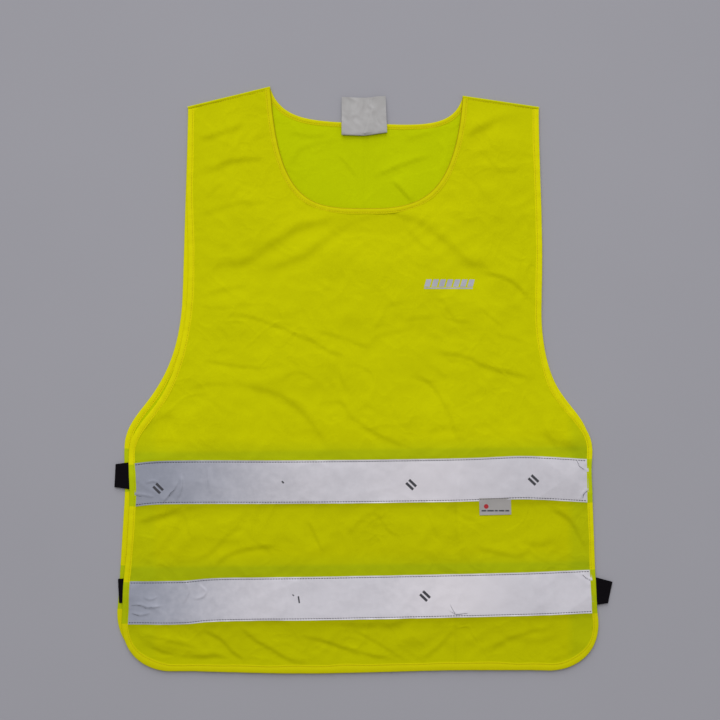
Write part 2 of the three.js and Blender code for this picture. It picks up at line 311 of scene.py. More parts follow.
# Folds in the front panel: height and half width in mm, and the line that each one follows. The cloth is
# raised on the side of the line that is nearer the shoulders, and sunk on the other.
FRONT_FOLDS = [
    # Long drapes that fan out from under the neckline.
    (2.15, 11.0, [(22, 198), (-14, 190), (-50, 181), (-79, 171),
                  (-108, 154), (-128, 140), (-157, 132), (-192, 131)]),
    (1.60, 9.0, [(52, 199), (20, 190), (-10, 180), (-33, 168),
                 (-53, 154), (-68, 142), (-99, 131), (-130, 124)]),
    (1.90, 10.0, [(14, 201), (38, 192), (70, 178), (99, 155), (122, 135), (158, 127)]),
    (1.05, 7.5, [(26, 206), (38, 190), (52, 172), (66, 156), (86, 142)]),
    (0.85, 4.1, [(132, 123), (163, 117), (180, 105), (194, 88)]),
    # Creases across the chest.
    (0.48, 4.6, [(-190, 95), (-165, 102), (-130, 108)]),
    (0.40, 4.6, [(-198, 90), (-174, 82), (-136, 86), (-98, 84)]),
    (0.54, 3.3, [(-160, 74), (-133, 72), (-99, 61), (-73, 49), (-50, 43)]),
    (0.45, 3.3, [(-62, 57), (-24, 48), (-4, 39), (20, 37)]),
    (0.45, 3.3, [(6, 49), (22, 70), (30, 85), (55, 90)]),
    (0.35, 3.3, [(42, 67), (66, 71), (92, 74)]),
    (0.48, 3.5, [(76, 94), (92, 89), (105, 69), (132, 65)]),
    (0.45, 3.3, [(132, 84), (146, 72), (162, 60)]),
    (0.35, 3.7, [(4, 42), (24, 51), (59, 59)]),
    (0.31, 3.7, [(150, 52), (172, 47), (192, 40)]),
    # Left shoulder.
    (1.30, 8.5, [(-146, 322), (-128, 316), (-112, 306)]),
    (0.95, 5.5, [(-194, 274), (-165, 284), (-134, 294)]),
    (0.92, 5.2, [(-184, 236), (-165, 246), (-148, 252), (-112, 255)]),
    (0.41, 3.3, [(-158, 202), (-148, 216), (-138, 230)]),
    (0.41, 3.3, [(-182, 208), (-168, 222), (-156, 232)]),
    (0.55, 5.1, [(-196, 186), (-148, 202), (-124, 203), (-102, 209)]),
    (0.31, 4.6, [(-128, 142), (-120, 162), (-113, 183)]),
    # Right shoulder.
    (3.60, 9.0, [(112, 276), (138, 291), (162, 303), (192, 309)]),
    (0.55, 4.6, [(135, 268), (150, 247), (165, 240), (186, 246)]),
    (0.35, 3.7, [(182, 262), (192, 258), (202, 254)]),
    (0.40, 5.5, [(120, 240), (134, 222), (140, 200)]),
    (0.31, 4.6, [(176, 214), (184, 190), (196, 172)]),
    # Belly, above the upper tape.
    (0.54, 3.5, [(-190, 22), (-140, 14), (-106, 12)]),
    (1.25, 7.5, [(-160, -2), (-127, -10), (-99, -18), (-73, -36), (-57, -55), (-42, -78), (-31, -92)]),
    (0.40, 4.1, [(-206, -12), (-176, -6), (-150, -6)]),
    (0.75, 5.5, [(-58, -31), (-27, -27), (-15, -43), (8, -59), (38, -74), (70, -86)]),
    (0.40, 3.7, [(-100, -4), (-76, 8), (-52, -3)]),
    (0.63, 4.6, [(-77, 57), (-42, 33), (-24, 26), (-27, 6), (-15, -20)]),
    (0.39, 3.7, [(-18, 18), (8, 8), (10, -12), (-8, -26)]),
    (0.90, 5.5, [(48, 3), (73, -2), (88, -20), (100, -43), (111, -80)]),
    (0.95, 5.5, [(74, 32), (115, 26), (142, 14), (172, 6), (206, -2)]),
    (0.40, 3.3, [(92, 21), (112, 20), (132, 12)]),
    (0.55, 5.5, [(214, -30), (211, -60), (229, -86)]),
    (0.35, 4.6, [(-216, -34), (-232, -56), (-250, -88)]),
    (0.31, 4.6, [(132, -40), (150, -60), (176, -74)]),
    (1.50, 9.0, [(200, -62), (226, -73), (252, -80)]),
    (1.50, 8.0, [(-258, -62), (-241, -48), (-218, -38)]),
    (0.80, 7.0, [(70, -64), (92, -56), (116, -60)]),
    # Between the tapes.
    (1.62, 6.0, [(-264, -168), (-232, -158), (-205, -148)]),
    (0.44, 3.7, [(-208, -152), (-203, -170), (-198, -188)]),
    (0.57, 4.1, [(-200, -212), (-176, -200), (-157, -181), (-138, -168)]),
    (0.86, 4.1, [(-178, -224), (-157, -204), (-127, -195), (-92, -193)]),
    (0.85, 3.7, [(-66, -160), (-57, -178), (-46, -202)]),
    (0.52, 4.1, [(-24, -184), (0, -160), (16, -157), (30, -176), (50, -184)]),
    (1.30, 3.6, [(108, -145), (109, -180), (109, -214)]),
    (0.44, 4.1, [(70, -150), (80, -170), (90, -192)]),
    (0.85, 5.5, [(120, -192), (153, -200), (180, -204), (200, -189)]),
    (1.72, 6.4, [(210, -146), (238, -163), (252, -188), (258, -208)]),
    (0.60, 6.0, [(178, -188), (204, -191), (224, -184)]),
    # Below the lower tape.
    (0.61, 4.1, [(-262, -294), (-230, -301), (-188, -311)]),
    (1.31, 4.6, [(-256, -305), (-232, -316), (-203, -322), (-169, -320), (-150, -326)]),
    (0.92, 4.6, [(-190, -288), (-165, -300), (-150, -317), (-132, -328)]),
    (0.90, 4.8, [(-148, -280), (-127, -300), (-107, -312), (-85, -325), (-60, -329)]),
    (0.86, 4.1, [(-78, -295), (-42, -304), (-15, -314), (15, -321), (46, -326)]),
    (0.55, 4.1, [(-16, -288), (15, -304), (42, -322), (57, -326)]),
    (0.78, 4.1, [(60, -326), (77, -318), (96, -300), (108, -284)]),
    (1.70, 10.0, [(-266, -296), (-240, -308), (-208, -315), (-180, -318)]),
    (1.00, 6.5, [(-34, -281), (-8, -284), (28, -284), (52, -281)]),
    (0.80, 8.0, [(40, -300), (66, -306), (92, -296)]),
    (0.90, 9.0, [(150, -290), (176, -300), (210, -302), (232, -292)]),
    (0.69, 4.6, [(140, -320), (161, -304), (192, -292), (220, -288)]),
    (0.61, 3.7, [(214, -326), (236, -320), (250, -310)]),
]

# Folds in the back panel where it shows through the neck opening.
BACK_FOLDS = [
    (0.59, 2.4, [(-1, 290), (0, 250), (-1, 204), (-2, 150)]),
    (1.17, 3.7, [(10, 232), (42, 246), (80, 259)]),
    (1.66, 5.5, [(32, 230), (44, 217), (56, 203)]),
    (0.59, 3.1, [(-30, 260), (-18, 246), (-8, 233)]),
    (0.78, 4.6, [(-84, 240), (-76, 262), (-54, 272), (-24, 276)]),
    (0.68, 4.1, [(84, 276), (92, 262), (88, 240)]),
    (0.59, 4.6, [(-88, 286), (-60, 280), (-36, 284)]),
    (0.59, 4.6, [(46, 276), (70, 282), (92, 290)]),
]


def ripple(x, y, seed, wavelength, waves=9):
    """A smooth seeded surface, mostly between -1.5 and 1.5."""
    rng = np.random.default_rng(seed)
    total = np.zeros_like(x)
    for _ in range(waves):
        angle, phase = rng.uniform(0, 2 * math.pi, 2)
        length = wavelength * rng.uniform(0.7, 1.6)
        total += np.sin(2 * math.pi * (x * math.cos(angle) + y * math.sin(angle)) / length + phase)
    return total / math.sqrt(waves)


def fold_height(x, y, fold):
    """How much one fold lifts the cloth at each point."""
    height, half_width, route = fold
    line = smooth_line(route, ROUTE_STEP, WHOLE)
    reach = half_width * FOLD_REACH
    low, high = line.min(0) - reach, line.max(0) + reach
    near = np.flatnonzero((x > low[0]) & (x < high[0]) & (y > low[1]) & (y < high[1]))
    lift = np.zeros_like(x)
    if not len(near):
        return lift
    start, step = line[:-1], np.diff(line, axis=0)
    offset = np.stack([x[near], y[near]], axis=1)[:, None, :] - start[None]
    share = np.clip((offset * step).sum(2) / (step**2).sum(1), 0, 1)
    apart = offset - share[..., None] * step
    distance = np.linalg.norm(apart, axis=2)
    best = distance.argmin(1)
    row = np.arange(len(near))
    side = np.sign(step[best, 0] * offset[row, best, 1] - step[best, 1] * offset[row, best, 0])
    across = side * distance[row, best] / half_width
    along = (best + share[row, best]) / len(step)
    fade = smoothstep(along / FOLD_FADE) * smoothstep((1 - along) / FOLD_FADE)
    crispness = np.interp(half_width, FOLD_WIDTHS, FOLD_CRISPNESS)
    profile = FOLD_FULLNESS * np.tanh(crispness * across) * np.exp(-np.abs(across) / FOLD_FALL)
    lift[near] = height * profile * fade
    return lift


def raised_north(fold):
    """The fold with its line turned so that the raised side is the one nearer the shoulders."""
    height, half_width, route = fold
    return (height, half_width, route if route[-1][0] >= route[0][0] else route[::-1])


FOLDS = {"front": [raised_north(f) for f in FRONT_FOLDS], "back": [raised_north(f) for f in BACK_FOLDS]}


class TapeRoute:
    """Where a tape lies in plan: its middle line across the panel, from the CAD tape and the bends in it."""

    def __init__(self, panel, name, bends):
        outline = node_outline(f"{panel.name}_{name}_tape")
        x, y = outline[:, 0], outline[:, 1]
        upper_left, lower_left = outline[np.argmax(y - x)], outline[np.argmin(x + y)]
        upper_right, lower_right = outline[np.argmax(x + y)], outline[np.argmax(x - y)]
        self.left = (upper_left + lower_left) / 2
        self.right = (upper_right + lower_right) / 2
        self.half = (upper_left[1] - lower_left[1]) / 2
        self.panel = panel
        self.name = name
        self.step = FRONT_TAPE_STEP if panel is FRONT else BACK_TAPE_STEP
        self.bends = np.array(bends, float).reshape(-1, 2)

    def middle(self, x):
        share = (x - self.left[0]) / (self.right[0] - self.left[0])
        straight = self.left[1] + (self.right[1] - self.left[1]) * share
        if not len(self.bends):
            return straight
        line = smooth_line(self.bends, ROUTE_STEP, WHOLE)
        return straight + np.interp(x, line[:, 0], line[:, 1])


TAPES = [
    TapeRoute(FRONT, "upper", [(-272, -2.4), (-221, 1.3), (-61, 0.3), (111, 1.2), (187, 3.2), (262, -1.6)]),
    TapeRoute(FRONT, "lower", [(-276, 0.2), (-209, -0.4), (-168, 2.0), (-60, 0.8), (134, 0.0), (268, 0.7)]),
    TapeRoute(BACK, "upper", []),
    TapeRoute(BACK, "lower", []),
]
# How wide the strip is where a tape stops holding the cloth flat, in mm.
TAPE_HOLD_FADE = 6
# How far from a strap's middle the front is lifted, across and up, in mm.
STRAP_LIFT_REACH = (45, 32)


def front_tape(name):
    return next(tape for tape in TAPES if tape.panel is FRONT and tape.name == name)


def edge_puckers(points, panel):
    """Small waves that the binding's stitching draws up in the cloth beside it."""
    total = np.zeros(len(points))
    for line, seed in ((panel.edge, 1), (panel.neck, 2)):
        distance, along = nearest_on(points, line)
        wave = np.sin(along / 1.7 + 2 * np.sin(along / 11 + seed)) + 0.7 * np.sin(along / 3.9 + seed)
        total += wave * np.exp(-np.maximum(distance - EDGE_BINDING, 0) / PUCKER_REACH)
    return PUCKER_HEIGHT * total


def tape_share(x, y, panel):
    """1 under a tape, and 0 away from it."""
    share = np.zeros_like(x)
    for tape in TAPES:
        if tape.panel is panel:
            outside = np.abs(y - tape.middle(x)) - tape.half
            share = np.maximum(share, 1 - smoothstep((outside + TAPE_HOLD_FADE / 2) / TAPE_HOLD_FADE))
    return share


def strap_lift(x, y):
    """The front edge rides up a little where an elastic strap comes out from under it."""
    lift = np.zeros_like(x)
    for name in STRAPS:
        middle_x, middle_y, _ = sum(box_mm(name)) / 2
        reach_x, reach_y = STRAP_LIFT_REACH
        apart = np.maximum(np.abs(x - middle_x) / reach_x, np.abs(y - middle_y) / reach_y)
        lift += STRAP_ROOM * (1 - smoothstep(apart))
    return lift


def folds_at(x, y, panel_name):
    return sum(fold_height(x, y, fold) for fold in FOLDS[panel_name])


def creases(x, y, seed, wavelength):
    """A net of faint sharp creases, as thin cloth keeps after being packed."""
    wander_x, wander_y = (
        place + wavelength * 0.22 * ripple(x, y, seed + change, wavelength * 1.5)
        for place, change in ((x, 100), (y, 200)))
    return 0.7 - np.abs(ripple(wander_x, wander_y, seed, wavelength, waves=4))


def summed(surface, x, y, layers):
    """Layers of a seeded surface, each with its size in mm, its seed and its wavelength in mm."""
    return sum(size * surface(x, y, seed, wavelength) for size, seed, wavelength in layers)


# What is left of the front's folds and puffs at its edge and under its tapes.
FOLDS_AT_EDGE = 0.4
PUFFS_AT_EDGE = 0.25
FOLD_EDGE_LENGTH = 22
FOLDS_UNDER_TAPE = 0.25
PUFFS_UNDER_TAPE = 0.5
# The back's mean roll, the limits of its folds, and the length over which they begin, in mm.
BACK_ROLL = 0.25
BACK_FOLD_LIMITS = (-0.25, 2)
BACK_EDGE_LENGTH = 12
# Unevenness in layers: size in mm, seed and wavelength in mm.
FRONT_PUFFS = [(0.55, 11, 150), (0.50, 12, 72), (0.22, 13, 36), (0.07, 14, 18)]
FRONT_CREASES = [(0.50, 21, 110), (0.46, 22, 60), (0.26, 23, 30)]
BACK_ROLLS = [(0.16, 31, 110), (0.07, 32, 45)]
BACK_CREASES = [(0.06, 33, 60)]
TAPE_RIPPLES = [(0.05, 41, 26)]
# Dips of the front edge between stiffer places: x, y, depth and reach, in mm.
CORNER_SAGS = [(-262, -108, 0.9, 40), (255, -100, 0.8, 34), (-262, -262, 0.9, 45), (255, -240, 0.6, 40)]


def front_height(x, y):
    """The height of the middle of the front cloth, in mm."""
    x, y = np.asarray(x, float), np.asarray(y, float)
    points = np.stack([x, y], axis=1)
    from_edge = distance_to(points, np.concatenate([FRONT.edge, FRONT.neck]))
    inside = smoothstep(from_edge / EDGE_SLOPE_LENGTH)
    height = between(FRONT_EDGE_REST, FRONT_MIDDLE_REST, inside)
    stiff = tape_share(x, y, FRONT)
    loose = between(FOLDS_AT_EDGE, 1, smoothstep(from_edge / FOLD_EDGE_LENGTH))
    puffed = between(PUFFS_AT_EDGE, 1, inside) * between(1, PUFFS_UNDER_TAPE, stiff)
    height += summed(ripple, x, y, FRONT_PUFFS) * puffed
    folded = folds_at(x, y, "front") + summed(creases, x, y, FRONT_CREASES)
    height += folded * loose * between(1, FOLDS_UNDER_TAPE, stiff)
    height += strap_lift(x, y) + edge_puckers(points, FRONT)
    for sag_x, sag_y, depth, reach in CORNER_SAGS:
        height -= depth * (1 - smoothstep(np.hypot(x - sag_x, y - sag_y) / reach))
    height = np.maximum(height, FRONT_LOWEST)
    near_shoulder = smoothstep(distance_to(points, FRONT.shoulders) / SHOULDER_SLOPE_LENGTH)
    return between(SHOULDER_REST, height, near_shoulder)


def back_height(x, y):
    """The height of the middle of the back cloth, in mm."""
    x, y = np.asarray(x, float), np.asarray(y, float)
    lift = np.clip(summed(ripple, x, y, BACK_ROLLS) + BACK_ROLL, 0, 1) * (1 - tape_share(x, y, BACK))
    lift += np.clip(folds_at(x, y, "back") + summed(creases, x, y, BACK_CREASES), *BACK_FOLD_LIMITS)
    from_edge = distance_to(np.stack([x, y], axis=1), np.concatenate([BACK.edge, BACK.neck]))
    return BACK_REST + lift * smoothstep(from_edge / BACK_EDGE_LENGTH)


HEIGHTS = {"front": front_height, "back": back_height}


# ------------------------------------------------------------
# Mesh making


def inside_polygon(points, polygon):
    """Which points lie inside a closed outline."""
    inside = np.zeros(len(points), bool)
    x, y = points[:, 0], points[:, 1]
    for (ax, ay), (bx, by) in zip(polygon, np.roll(polygon, -1, axis=0)):
        crosses = (ay > y) != (by > y)
        if ay != by:
            inside ^= crosses & (x < (bx - ax) * (y - ay) / (by - ay) + ax)
    return inside


def filled(outline, step):
    """Triangles that fill an outline, from points a step apart: (points, triangles)."""
    low, high = outline.min(0), outline.max(0)
    xs, ys = np.arange(low[0], high[0], step), np.arange(low[1], high[1], step)
    grid = np.stack(np.meshgrid(xs, ys), axis=-1).reshape(-1, 2)
    grid = grid[inside_polygon(grid, outline)]
    grid = grid[distance_to(grid, outline) > step * 0.75]
    points = np.concatenate([outline, grid])
    border = list(range(len(outline)))
    edges = list(zip(border, border[1:] + border[:1]))
    made = delaunay_2d_cdt([Vector(p) for p in points], edges, [], 0, 1e-5, False)
    corners = np.array([tuple(v) for v in made[0]])
    triangles = np.array(made[2])
    triangles = triangles[inside_polygon(corners[triangles].mean(1), outline)]
    a, b, c = (corners[triangles[:, k]] for k in range(3))
    turned = (b[:, 0] - a[:, 0]) * (c[:, 1] - a[:, 1]) - (b[:, 1] - a[:, 1]) * (c[:, 0] - a[:, 0]) < 0
    triangles[turned] = triangles[turned][:, ::-1]
    return corners, triangles


def open_edges(triangles):
    """The directed edges that have a triangle on one side only."""
    edges = np.concatenate([triangles[:, [0, 1]], triangles[:, [1, 2]], triangles[:, [2, 0]]])
    known = set(map(tuple, edges))
    return [(a, b) for a, b in known if (b, a) not in known]


def shell(corners, heights, triangles, thickness):
    """A closed sheet from its middle surface: vertices and faces."""
    count = len(corners)
    top = np.column_stack([corners, heights + thickness / 2])
    bottom = np.column_stack([corners, heights - thickness / 2])
    faces = [tuple(t) for t in triangles]
    faces += [tuple(t + count) for t in triangles[:, ::-1]]
    faces += [(b, a, a + count, b + count) for a, b in sorted(open_edges(triangles))]
    return np.concatenate([top, bottom]), faces


def grid_shell(grid, thickness):
    """A closed sheet from a grid of points on its middle surface, offset along its own normals."""
    normals = np.cross(np.gradient(grid, axis=0), np.gradient(grid, axis=1))
    normals /= np.linalg.norm(normals, axis=2, keepdims=True)
    layers = [(grid + normals * thickness * side).reshape(-1, 3) for side in (0.5, -0.5)]
    count = len(layers[0])
    index = np.arange(count).reshape(grid.shape[:2])
    quads = np.stack([index[:-1, :-1], index[1:, :-1], index[1:, 1:], index[:-1, 1:]], axis=-1).reshape(-1, 4)
    faces = []
    for top, bottom in zip(quads.tolist(), (quads[:, ::-1] + count).tolist()):
        faces += [top, bottom]
    border = np.concatenate([index[0, :-1], index[:-1, -1], index[-1, :0:-1], index[:0:-1, 0]]).tolist()
    faces += [(a, b, b + count, a + count) for a, b in zip(border, border[1:] + border[:1])]
    return np.concatenate(layers), faces


def swept(rings):
    """A closed tube through rings of points, each ring anticlockwise seen against the travel."""
    index = np.arange(rings.shape[0] * rings.shape[1]).reshape(rings.shape[:2])
    turned = np.roll(index, -1, axis=1)
    sides = np.stack([index[:-1], turned[:-1], turned[1:], index[1:]], axis=-1).reshape(-1, 4)
    return rings.reshape(-1, 3), sides.tolist() + [index[0, ::-1].tolist(), index[-1].tolist()]


# A stitch's sections: shares of its length and width, and height in mm.
STITCH_SECTIONS = [
    (-0.5, 0.0, -0.10), (-0.42, 0.7, 0.02), (0.0, 1.0, 0.14), (0.42, 0.7, 0.02), (0.5, 0.0, -0.10),
]
STITCH_SIDES = 6
STITCH_FLATNESS = 0.7
STITCH_SKEW = 0.06


def stitch_shape():
    """One stitch: its points, as (share of its length, across, up, height), and its faces."""
    points, faces = [], []
    for share, size, height in STITCH_SECTIONS:
        for k in range(STITCH_SIDES if size else 1):
            turn = 2 * math.pi * k / STITCH_SIDES
            points.append((share, size * math.cos(turn), size * STITCH_FLATNESS * math.sin(turn), height))
    rings = [1 + ring * STITCH_SIDES for ring in range(3)]
    for k in range(STITCH_SIDES):
        n = (k + 1) % STITCH_SIDES
        faces.append((0, 1 + n, 1 + k))
        faces += [(at + k, at + n, at + n + STITCH_SIDES, at + k + STITCH_SIDES) for at in rings[:2]]
        faces.append((rings[2] + k, rings[2] + n, len(points) - 1))
    return np.array(points), faces


def stitch_row(route, pitch=STITCH_PITCH, length=STITCH_LENGTH, width=STITCH_WIDTH, up=1):
    """Separate stitches along a line of points in mm: vertices and faces. up is -1 on an underside."""
    spaced = evenly(route, pitch)
    middles = (spaced[1:] + spaced[:-1]) / 2
    along = np.diff(spaced, axis=0)
    along /= np.linalg.norm(along, axis=1, keepdims=True)
    across = np.stack([-along[:, 1], along[:, 0], np.zeros(len(along))], axis=1)
    skew = np.random.default_rng(len(middles)).uniform(-STITCH_SKEW, STITCH_SKEW, (len(middles), 1))
    along += across * skew
    shape, faces = stitch_shape()
    share, out, rise, height = shape.T[..., None]
    vertices = middles[:, None] + along[:, None] * share * length + across[:, None] * out * up * width / 2
    vertices[..., 2:] += up * (rise * width / 2 + height)
    firsts = range(0, len(middles) * len(shape), len(shape))
    return vertices.reshape(-1, 3), [[first + i for i in face] for first in firsts for face in faces]


def joined(*parts):
    """Several (vertices, faces) pairs as one."""
    vertices, faces, count = [], [], 0
    for points, polygons in parts:
        vertices.append(points)
        faces += [tuple(i + count for i in polygon) for polygon in polygons]
        count += len(points)
    return np.concatenate(vertices), faces


# ------------------------------------------------------------
# Materials


class Value:
    """A number, colour or direction that a material works out at each point, with the usual sums on it."""

    def __init__(self, shader, socket):
        self.shader = shader
        self.socket = socket

    def math(self, operation, other=0.0):
        return self.shader.add("ShaderNodeMath", {0: self, 1: other}, operation=operation)

    def __add__(self, other):
        return self.math("ADD", other)

    def __sub__(self, other):
        return self.math("SUBTRACT", other)

    def __mul__(self, other):
        return self.math("MULTIPLY", other)


class Shader:
    """A short way to write a material's node tree."""

    def __init__(self, name):
        self.material = bpy.data.materials.new(name)
        self.material.use_nodes = True
        self.tree = self.material.node_tree
        self.tree.nodes.clear()
        self.surface = self.tree.nodes.new("ShaderNodeOutputMaterial").inputs["Surface"]
        self.base = self.tree.nodes.new("ShaderNodeBsdfPrincipled")
        self.face = Value(self, self.base.outputs["BSDF"])
        self.feed(self.surface, self.face)
        self.where = self.add("ShaderNodeTexCoord", {}, output="Object")
        self.x, self.y = (self.add("ShaderNodeSeparateXYZ", {0: self.where}, output=axis) for axis in "XY")

    def feed(self, socket, value):
        """Links a worked-out value to a socket, or sets a fixed number or colour on it."""
        if isinstance(value, Value):
            self.tree.links.new(value.socket, socket)
        else:
            socket.default_value = (*value, 1) if isinstance(value, tuple) else value

    def add(self, kind, inputs, output=0, **settings):
        """Adds a node with these inputs and settings, and gives back one of its outputs."""
        node = self.tree.nodes.new(kind)
        for name, value in settings.items():
            setattr(node, name, value)
        for name, value in inputs.items():
            self.feed(node.inputs[name], value)
        return Value(self, node.outputs[output])

    def noise(self, size_mm, detail=2.0, roughness=0.5, distortion=0.0):
        """Noise from 0 to 1 with features of about this size."""
        inputs = {"Vector": self.where, "Scale": 1 / (size_mm * MM), "Detail": detail,
                  "Roughness": roughness, "Distortion": distortion}
        return self.add("ShaderNodeTexNoise", inputs, output="Fac")

    def crease(self, size_mm, distortion):
        """Thin ridges from 0 to 1 that wander like creases in crumpled cloth."""
        away = (self.noise(size_mm, detail=1.0, distortion=distortion) - 0.5).math("ABSOLUTE")
        return (away * -9.0 + 1.0).math("MAXIMUM", 0.0)

    def ramp(self, coordinate, start_mm, end_mm):
        """0 before one place on a coordinate and 1 past another, with a soft change between them."""
        inputs = {"Value": coordinate, "From Min": start_mm * MM, "From Max": end_mm * MM}
        return self.add("ShaderNodeMapRange", inputs, interpolation_type="SMOOTHSTEP")

    def wave(self, coordinate, pitch_mm):
        """A sine from 0 to 1 along a coordinate."""
        return (coordinate * (2 * math.pi / (pitch_mm * MM))).math("SINE") * 0.5 + 0.5

    def blend(self, share, first, second):
        """The first colour where the share is 0, and the second where it is 1."""
        return self.add("ShaderNodeMix", {0: share, 6: first, 7: second}, output=2, data_type="RGBA")

    def set(self, **values):
        """Sets the surface's own inputs, which are named with underscores for spaces."""
        for name, value in values.items():
            self.feed(self.base.inputs[name.replace("_", " ")], value)

    def bump(self, height, depth_mm, strength):
        inputs = {"Height": height, "Distance": depth_mm * MM, "Strength": strength}
        normal = self.add("ShaderNodeBump", inputs)
        self.set(Normal=normal)
        return normal

    def translucent(self, share, colour, normal):
        """Lets some of the light through, as thin cloth does."""
        through = self.add("ShaderNodeBsdfTranslucent", {"Color": colour, "Normal": normal})
        self.feed(self.surface, self.add("ShaderNodeMixShader", {0: share, 1: self.face, 2: through}))


def scaled(colour, factor):
    return tuple(c * factor for c in colour)


# How the back's grey tapes show through the front, with painted shade spread in a soft band above them: tint,
# strength, climb to the right, and rise in mm.
VEIL_AND_SHADE_COLOUR = (0.20, 0.39, 0.01)
VEIL_AND_SHADE_STRENGTH = 0.33
VEIL_AND_SHADE_CLIMB = 0.013
VEIL_AND_SHADE_RISE = {"upper": 0.0, "lower": 1.5}
# How far above and below such a tape's edge the two halves of its tint fade in, in mm.
VEIL_AND_SHADE_FADES = [(17, 4), (3, 3)]
# Painted shade along the sides, in the same tint: strength, and where it begins and is full, in mm.
SIDE_PAINTED_SHADES = [(0.17, 232, 246), (0.08, -234, -248)]
# The shade just below a front tape: its strength and how far its two halves reach, in mm.
TAPE_SHADE = 0.52
TAPE_SHADE_REACHES = (22, 8)
# Painted shade along a crease in the front beside its middle, with the heights between which it fades in, in
# mm.
CREASE_SHADE_STRENGTH = 0.075
CREASE_SHADE_X = 106.5
CREASE_SHADE_HALF = 3.6
CREASE_SHADE_FADE = (-60, -140)


def add_front_shades(s, tint, colour):
    """Painted shade on the front's cloth: over and above the back's tapes, which also show through it, just
    below the front tapes, along the sides and along a crease.
    """
    dark = scaled(colour, 0.5)
    for tape in TAPES:
        climb = (tape.right[1] - tape.left[1]) / (tape.right[0] - tape.left[0])
        middle = tape.left[1] - climb * tape.left[0]
        if tape.panel is BACK:
            # The back's tape shows through here, and painted shade reaches above it.
            level = s.x * (-climb - VEIL_AND_SHADE_CLIMB) + s.y
            top, bottom = middle + tape.half + VEIL_AND_SHADE_RISE[tape.name], middle - tape.half
            soft, clear = (s.ramp(level, top + above, top - below) for above, below in VEIL_AND_SHADE_FADES)
            veil_and_shade = (soft + clear) * s.ramp(level, bottom, bottom + 8)
            tint = s.blend(veil_and_shade * (VEIL_AND_SHADE_STRENGTH / 2), tint, VEIL_AND_SHADE_COLOUR)
        else:
            level = s.x * -climb + s.y
            edge = middle - tape.half
            far, near = (s.ramp(level, edge - reach, edge) for reach in TAPE_SHADE_REACHES)
            shade = (far + near) * s.ramp(level, edge + 30, edge + 20)
            tint = s.blend(shade * (TAPE_SHADE / 2), tint, dark)
    # Painted shade along the sides.
    for strength, begins, full in SIDE_PAINTED_SHADES:
        tint = s.blend(s.ramp(s.x, begins, full) * strength, tint, VEIL_AND_SHADE_COLOUR)
    # Painted shade along the crease.
    line = s.ramp(s.x, CREASE_SHADE_X - CREASE_SHADE_HALF, CREASE_SHADE_X) * s.ramp(s.x, CREASE_SHADE_X + CREASE_SHADE_HALF, CREASE_SHADE_X)
    return s.blend(line * s.ramp(s.y, *CREASE_SHADE_FADE) * CREASE_SHADE_STRENGTH, tint, dark)


def tricot_material(name, colour, patch_size, add_shades=None):
    """Warp-knitted polyester: fine upright ribs crossed by smaller loops, and slow changes of shade."""
    s = Shader(name)
    knit = s.wave(s.y + s.x * 0.5, 1.0) * 0.4 + s.wave(s.x, 1.3) * 0.6
    fine = s.noise(1.6, roughness=0.7)
    shade = knit * 0.3 + s.noise(patch_size, detail=3) * 0.35 + fine * 0.35
    tint = s.blend(shade, scaled(colour, 0.86), scaled(colour, 1.12))
    tint = s.blend(s.ramp(s.y, -60, -215) * 0.35, tint, scaled(colour, 0.76))
    if add_shades:
        tint = add_shades(s, tint, colour)
    sharp = (s.crease(42, 0.7) * 4.4 + s.crease(17, 0.4) * 1.9) * (s.noise(90, detail=1) * 2.4 - 0.6)
    normal = s.bump(fine * 0.3 + knit + sharp, 0.12, 0.7)
    s.set(Base_Color=tint, Roughness=0.9, Specular_IOR_Level=0.05)
    s.translucent(0.22, tint, normal)
    return s.material


def binding_material(name, colour):
    """A folded knitted strip: finer ribs along it and a slightly shinier face, darker towards the hem."""
    s = Shader(name)
    weave = s.wave(s.x + s.y, 0.8) * s.wave(s.x - s.y, 0.8)
    patches = s.noise(9, detail=3)
    tint = s.blend(weave * 0.3 + patches * 0.7, scaled(colour, 0.88), scaled(colour, 1.10))
    tint = s.blend(s.ramp(s.y, -60, -330) * 0.8, tint, scaled(colour, 0.76))
    s.set(Base_Color=tint, Roughness=0.85, Specular_IOR_Level=0.07)
    s.bump(patches * 0.5 + weave, 0.10, 0.5)
    return s.material


def thread_material(name, colour):
    """Twisted sewing thread."""
    s = Shader(name)
    twist = s.wave(s.y * 1.3 + s.x, 0.35)
    tint = s.blend(twist, scaled(colour, 0.75), scaled(colour, 1.15))
    s.set(Base_Color=tint, Roughness=0.75, Specular_IOR_Level=0.1)
    s.bump(twist, 0.05, 0.6)
    return s.material


# The darkest and lightest grey of the tape and of its left end under painted shade, and the tint of its
# painted highlight.
TAPE_GREYS = ((0.55, 0.535, 0.585), (0.79, 0.76, 0.82))
SHADED_END_GREYS = ((0.24, 0.255, 0.315), (0.36, 0.375, 0.45))
TAPE_HIGHLIGHT = (0.92, 0.86, 0.90)
# How far that painted highlight reaches, in mm.
HIGHLIGHT_LEFT = 100
HIGHLIGHT_RIGHT = 110
# How each tape is shaded and lit: where the painted shade of its left end clears in mm, the tones of that end
# and of the rest, and where its painted highlight is brightest in mm and by how much.
TAPE_TONE_AND_LIGHT = {
    "upper": {"shaded_end": (-250, -40), "shaded_end_tone": 1.02, "tone": 0.94, "highlight_middle": 70, "highlight_gain": 0.26},
    "lower": {"shaded_end": (-275, -110), "shaded_end_tone": 1.13, "tone": 1.02, "highlight_middle": 98, "highlight_gain": 0.40},
}


